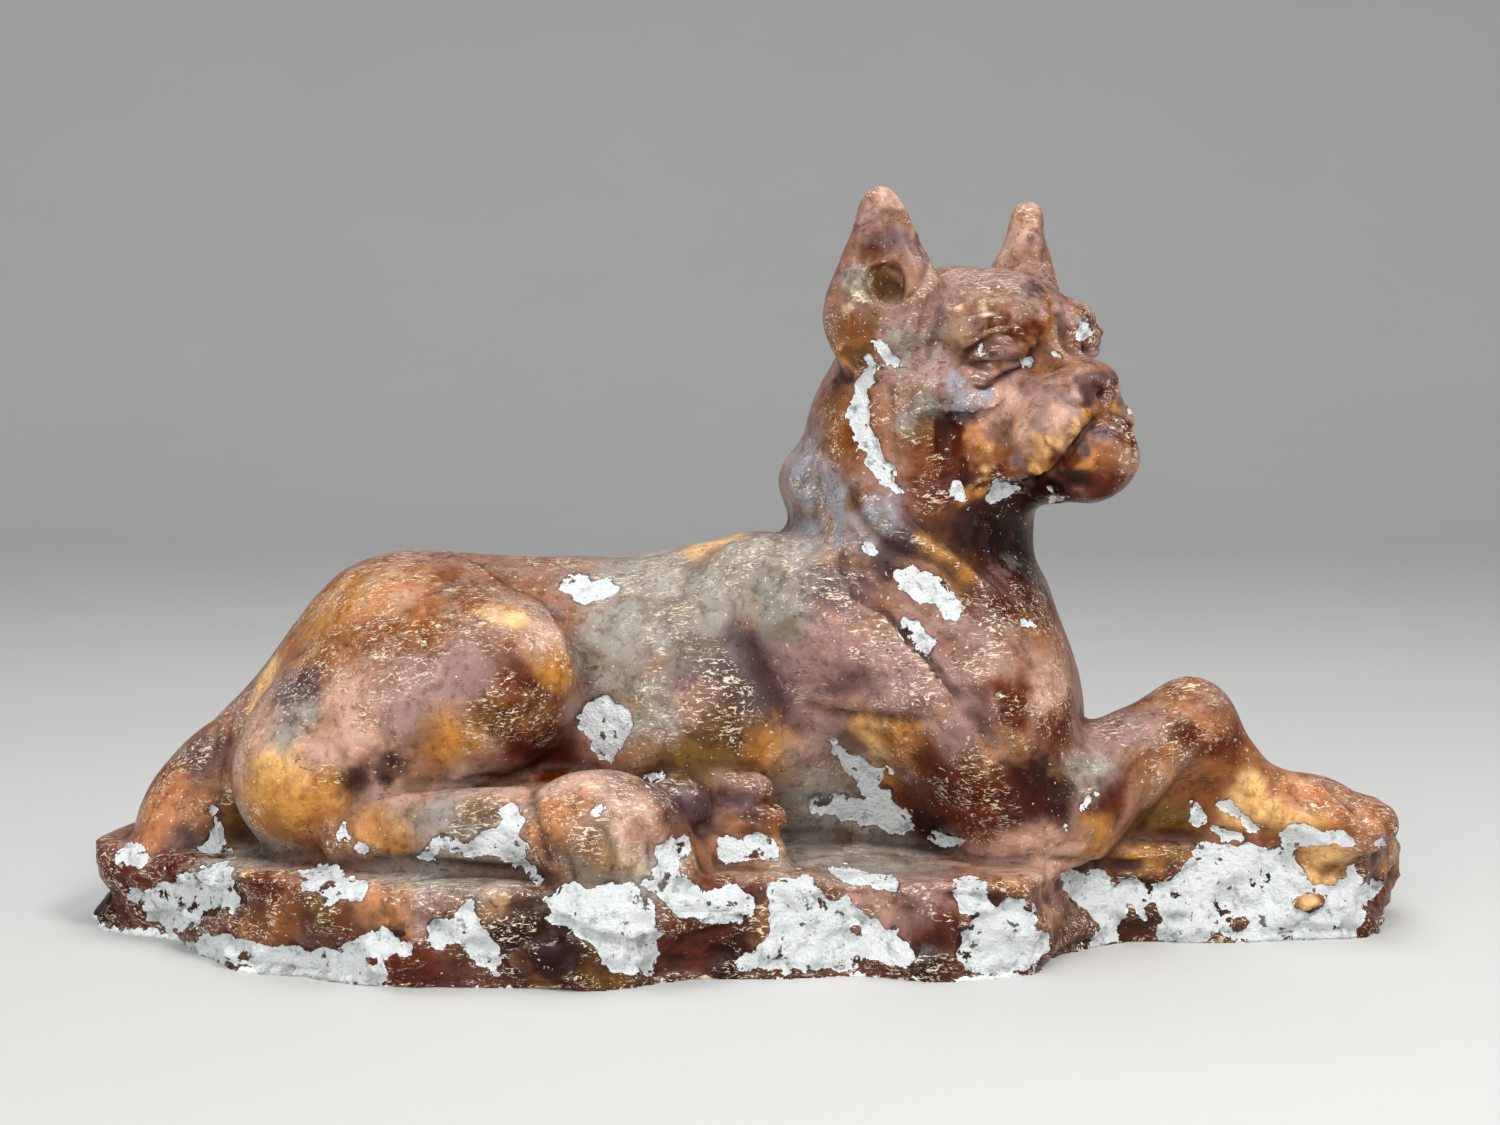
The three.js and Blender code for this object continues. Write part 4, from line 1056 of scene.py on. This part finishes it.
def paintedPlaster():
    m = Maker("painted_plaster")
    place = m.node("TexCoord", {}, output=3)
    paint = m.node("Attribute", {"attribute_name": "paint"})
    bareMm = m.node("Attribute", {"attribute_name": "bare"}, output=2)
    crest = m.node("Attribute", {"attribute_name": "crest"}, output=2)
    upwardDustAndSheen = m.node("Attribute", {"attribute_name": "upwardDustAndSheen"}, output=2)

    # missing paint: the patches with a ragged edge, and small flecks knocked off the raised parts
    ragged = bareMm + (m.noise(place, 330, 4, 0.65) - 0.5) * 3.6 + (m.noise(place, 1400, 2) - 0.5) * 1.0
    remains = m.noise(place, 78, 5, 0.65).rise(0.61, 0.625)
    patch = ragged.rise(-0.10, 0.10) * (1 - remains)
    knocks = m.noise(place, 330, 3, 0.6) + crest * 0.05 + (m.noise(place, 45, 2) - 0.5) * 0.35
    fleck = knocks.rise(0.80, 0.815)
    bareMask = patch.most(fleck)

    # paint: cloudy glaze, a haze of dust that is also a painted sky sheen on upward faces, straw marks and dark
    # scratches left by the brush (the straw marks also painted highlights on raised and upward parts), painted shade in
    # the hollows and along the creases
    glaze = m.noise(place, 55, 6, 0.65, 0.8)
    fine = m.noise(place, 240, 5, 0.7)
    patchy = m.noise(place, 120, 6, 0.72, 0.4)
    colour = m.mix(glaze.rise(0.42, 0.64) * 0.75, paint, m.mix(1.0, paint, (0.52, 0.38, 0.26), "MULTIPLY"))
    colour = m.mix(m.noise(place, 34, 4, 0.6).rise(0.56, 0.68) * 0.35, colour, (0.40, 0.19, 0.06))
    colour = m.mix(m.noise(place, 48, 5, 0.65, 0.5).rise(0.56, 0.64) * 0.5, colour,
                   m.mix(1.0, colour, (0.42, 0.30, 0.22), "MULTIPLY"))
    # paler grey on upward faces: dust, and a painted sky sheen
    dustAndSheen = m.noise(place, 95, 6, 0.75).rise(0.48, 0.60) * (0.02 + upwardDustAndSheen * 0.24)
    colour = m.mix(dustAndSheen, colour, (0.46, 0.39, 0.35))
    colour = m.mix(patchy.rise(0.54, 0.62) * 0.5, colour, m.mix(1.0, colour, (1.6, 1.5, 1.35), "MULTIPLY"))
    colour = m.mix(fine.rise(0.46, 0.37) * 0.55, colour, m.mix(1.0, colour, (0.40, 0.30, 0.22), "MULTIPLY"))
    brushed = m.node("Mapping", {}, Vector=place, Rotation=(0.4, 0.5, 0.6), Scale=(1.0, 3.0, 3.0))
    straw = m.noise(brushed, 215, 4, 0.75, 1.6)
    # cream streaks: worn paint, and painted highlights where they gather on raised and upward parts
    streakAndHighlightPlaces = (m.noise(place, 42, 4, 0.6) + crest * 0.12 + upwardDustAndSheen * 0.06).rise(0.515, 0.65)
    colour = m.mix(straw.rise(0.560, 0.59) * streakAndHighlightPlaces * 0.9, colour, (0.76, 0.64, 0.48))
    crossed = m.node("Mapping", {}, Vector=place, Location=(0.4, 0.1, 0.7), Rotation=(0.2, 0.9, 0.3),
                     Scale=(1.0, 2.6, 2.6))
    scratch = m.noise(crossed, 200, 4, 0.75, 1.6)
    scratchPlaces = (m.noise(place, 38, 4, 0.6, 0.6) - crest * 0.06).rise(0.49, 0.62)
    colour = m.mix(scratch.rise(0.560, 0.60) * scratchPlaces * 0.75, colour, (0.055, 0.020, 0.010))
    specks = m.noise(place, 620, 2, 0.5) + (m.noise(place, 24, 3) - 0.5) * 0.30
    colour = m.mix(specks.rise(0.70, 0.73) * 0.6, colour, (0.78, 0.68, 0.54))
    # painted shade: darker in the concave hollows
    hollowShade = (crest * -0.55 + (glaze - 0.5) * 0.5).rise(0.05, 0.75)
    colour = m.mix(hollowShade * 0.65, colour, (0.026, 0.010, 0.006))
    # painted shade along the creases
    creaseShade = m.node("Attribute", {"attribute_name": "creaseShade"}, output=2)
    colour = m.mix((creaseShade * (0.7 + fine * 0.9)).clamp() * 0.95, colour, (0.022, 0.010, 0.006))
    # a painted shadow along the edge of the paint around the bare patches
    chipEdgeShadow = ragged.rise(-0.75, -0.15) * (1 - patch)
    colour = m.mix(chipEdgeShadow * 0.35, colour, (0.04, 0.018, 0.010))

    # bare plaster: chalky white, with painted shade, grey in the low spots of its bump and dark in its pits, and specks
    # of paint left on it
    chalk = m.noise(place, 170, 6, 0.72)
    # grey where the bump height is low: painted shade in the plaster's hollows
    plaster = m.mix(chalk.rise(0.30, 0.48), (0.42, 0.45, 0.46), (0.91, 0.95, 0.96))
    # dark spots: painted shade in pits
    pitShade = m.noise(place, 110, 5, 0.7).rise(0.60, 0.70)
    plaster = m.mix(pitShade * 0.75, plaster, (0.20, 0.17, 0.14))
    plaster = m.mix(m.noise(place, 230, 3, 0.6).rise(0.655, 0.675) * 0.85, plaster, (0.07, 0.035, 0.02))
    colour = m.mix(bareMask, colour, plaster)

    roughness = 0.35 + (glaze - 0.5) * 0.30 + (fine - 0.5) * 0.30 + dustAndSheen * 0.5 + hollowShade * 0.2
    roughness = roughness * (1 - bareMask) + bareMask * 0.93

    height = (m.noise(place, 130, 4, 0.6) - 0.5) * 0.45 + (fine - 0.5) * 0.30
    rough = bareMm.rise(-0.6, 0.6)
    height = height * (1 - rough) + rough * ((chalk - 0.5) * 7.0 + (m.noise(place, 700, 3) - 0.5) * 1.6 - 0.6)
    bump = m.node("Bump", {}, Strength=0.85, Distance=0.0011, Height=height)
    shader = m.node("BsdfPrincipled", {}, Base_Color=colour, Roughness=roughness, Normal=bump,
                    Specular_IOR_Level=0.14)
    m.node("OutputMaterial", {}, Surface=shader)
    return m.material


body.data.materials.clear()
body.data.materials.append(paintedPlaster())
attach(body, "root")
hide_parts("plaster_dog")


# Floor and light

def addFloor():
    bpy.ops.object.select_all(action="DESELECT")
    bpy.ops.mesh.primitive_plane_add(size=9)
    floor = bpy.context.object
    floor.name = "floor"
    bpy.ops.object.mode_set(mode="EDIT")
    bpy.ops.mesh.select_all(action="DESELECT")
    bpy.ops.object.mode_set(mode="OBJECT")
    for edge in floor.data.edges:
        edge.select = all(floor.data.vertices[i].co.y > 1 for i in edge.vertices)
    bpy.ops.object.mode_set(mode="EDIT")
    bpy.ops.mesh.select_mode(type="EDGE")
    bpy.ops.mesh.extrude_region_move(TRANSFORM_OT_translate={"value": (0, 0, 4)})
    bpy.ops.object.mode_set(mode="OBJECT")
    applyModifier(floor, "BEVEL", width=2.4, segments=24, limit_method="ANGLE")
    bpy.ops.object.shade_smooth()
    m = Maker("pale_floor")
    place = m.node("TexCoord", {}, output=3)
    colour = m.mix(m.noise(place, 3, 3), (0.58, 0.58, 0.565), (0.61, 0.61, 0.595))
    m.node("OutputMaterial", {}, Surface=m.node("BsdfPrincipled", {}, Base_Color=colour, Roughness=0.75))
    floor.data.materials.append(m.material)


def addLight(name, place, target, size, power, colour):
    bpy.ops.object.select_all(action="DESELECT")
    bpy.ops.object.light_add(type="AREA", location=place)
    lamp = bpy.context.object
    lamp.name = name
    lamp.rotation_euler = (Vector(target) - Vector(place)).to_track_quat("-Z", "Y").to_euler()
    lamp.data.size = size
    lamp.data.energy = power
    lamp.data.color = colour


def addSky(direction, power):
    # broad light that is the same everywhere, so that the floor stays even into the distance
    bpy.ops.object.light_add(type="SUN")
    lamp = bpy.context.object
    lamp.name = "sky"
    lamp.rotation_euler = Vector(direction).to_track_quat("-Z", "Y").to_euler()
    lamp.data.energy = power
    lamp.data.angle = 1.0


addFloor()
addLight("key", (0.75, -1.0, 1.2), (0.0, 0.0, 0.1), 0.45, 19, (1.0, 0.98, 0.95))
addLight("over", (0.0, 0.15, 1.5), (0.0, 0.0, 0.1), 1.0, 9, (0.97, 0.99, 1.0))
addLight("fill", (-0.7, -1.5, 0.55), (0.0, 0.0, 0.08), 1.0, 13, (1.0, 0.99, 0.97))
addSky((0.3, 0.7, -1.0), 0.9)
world = bpy.data.worlds.new("studio")
bpy.context.scene.world = world
world.use_nodes = True
world.node_tree.nodes["Background"].inputs["Color"].default_value = (0.86, 0.90, 0.93, 1)
world.node_tree.nodes["Background"].inputs["Strength"].default_value = 0.22
bpy.context.scene.view_settings.view_transform = "Standard"
print("stage set")
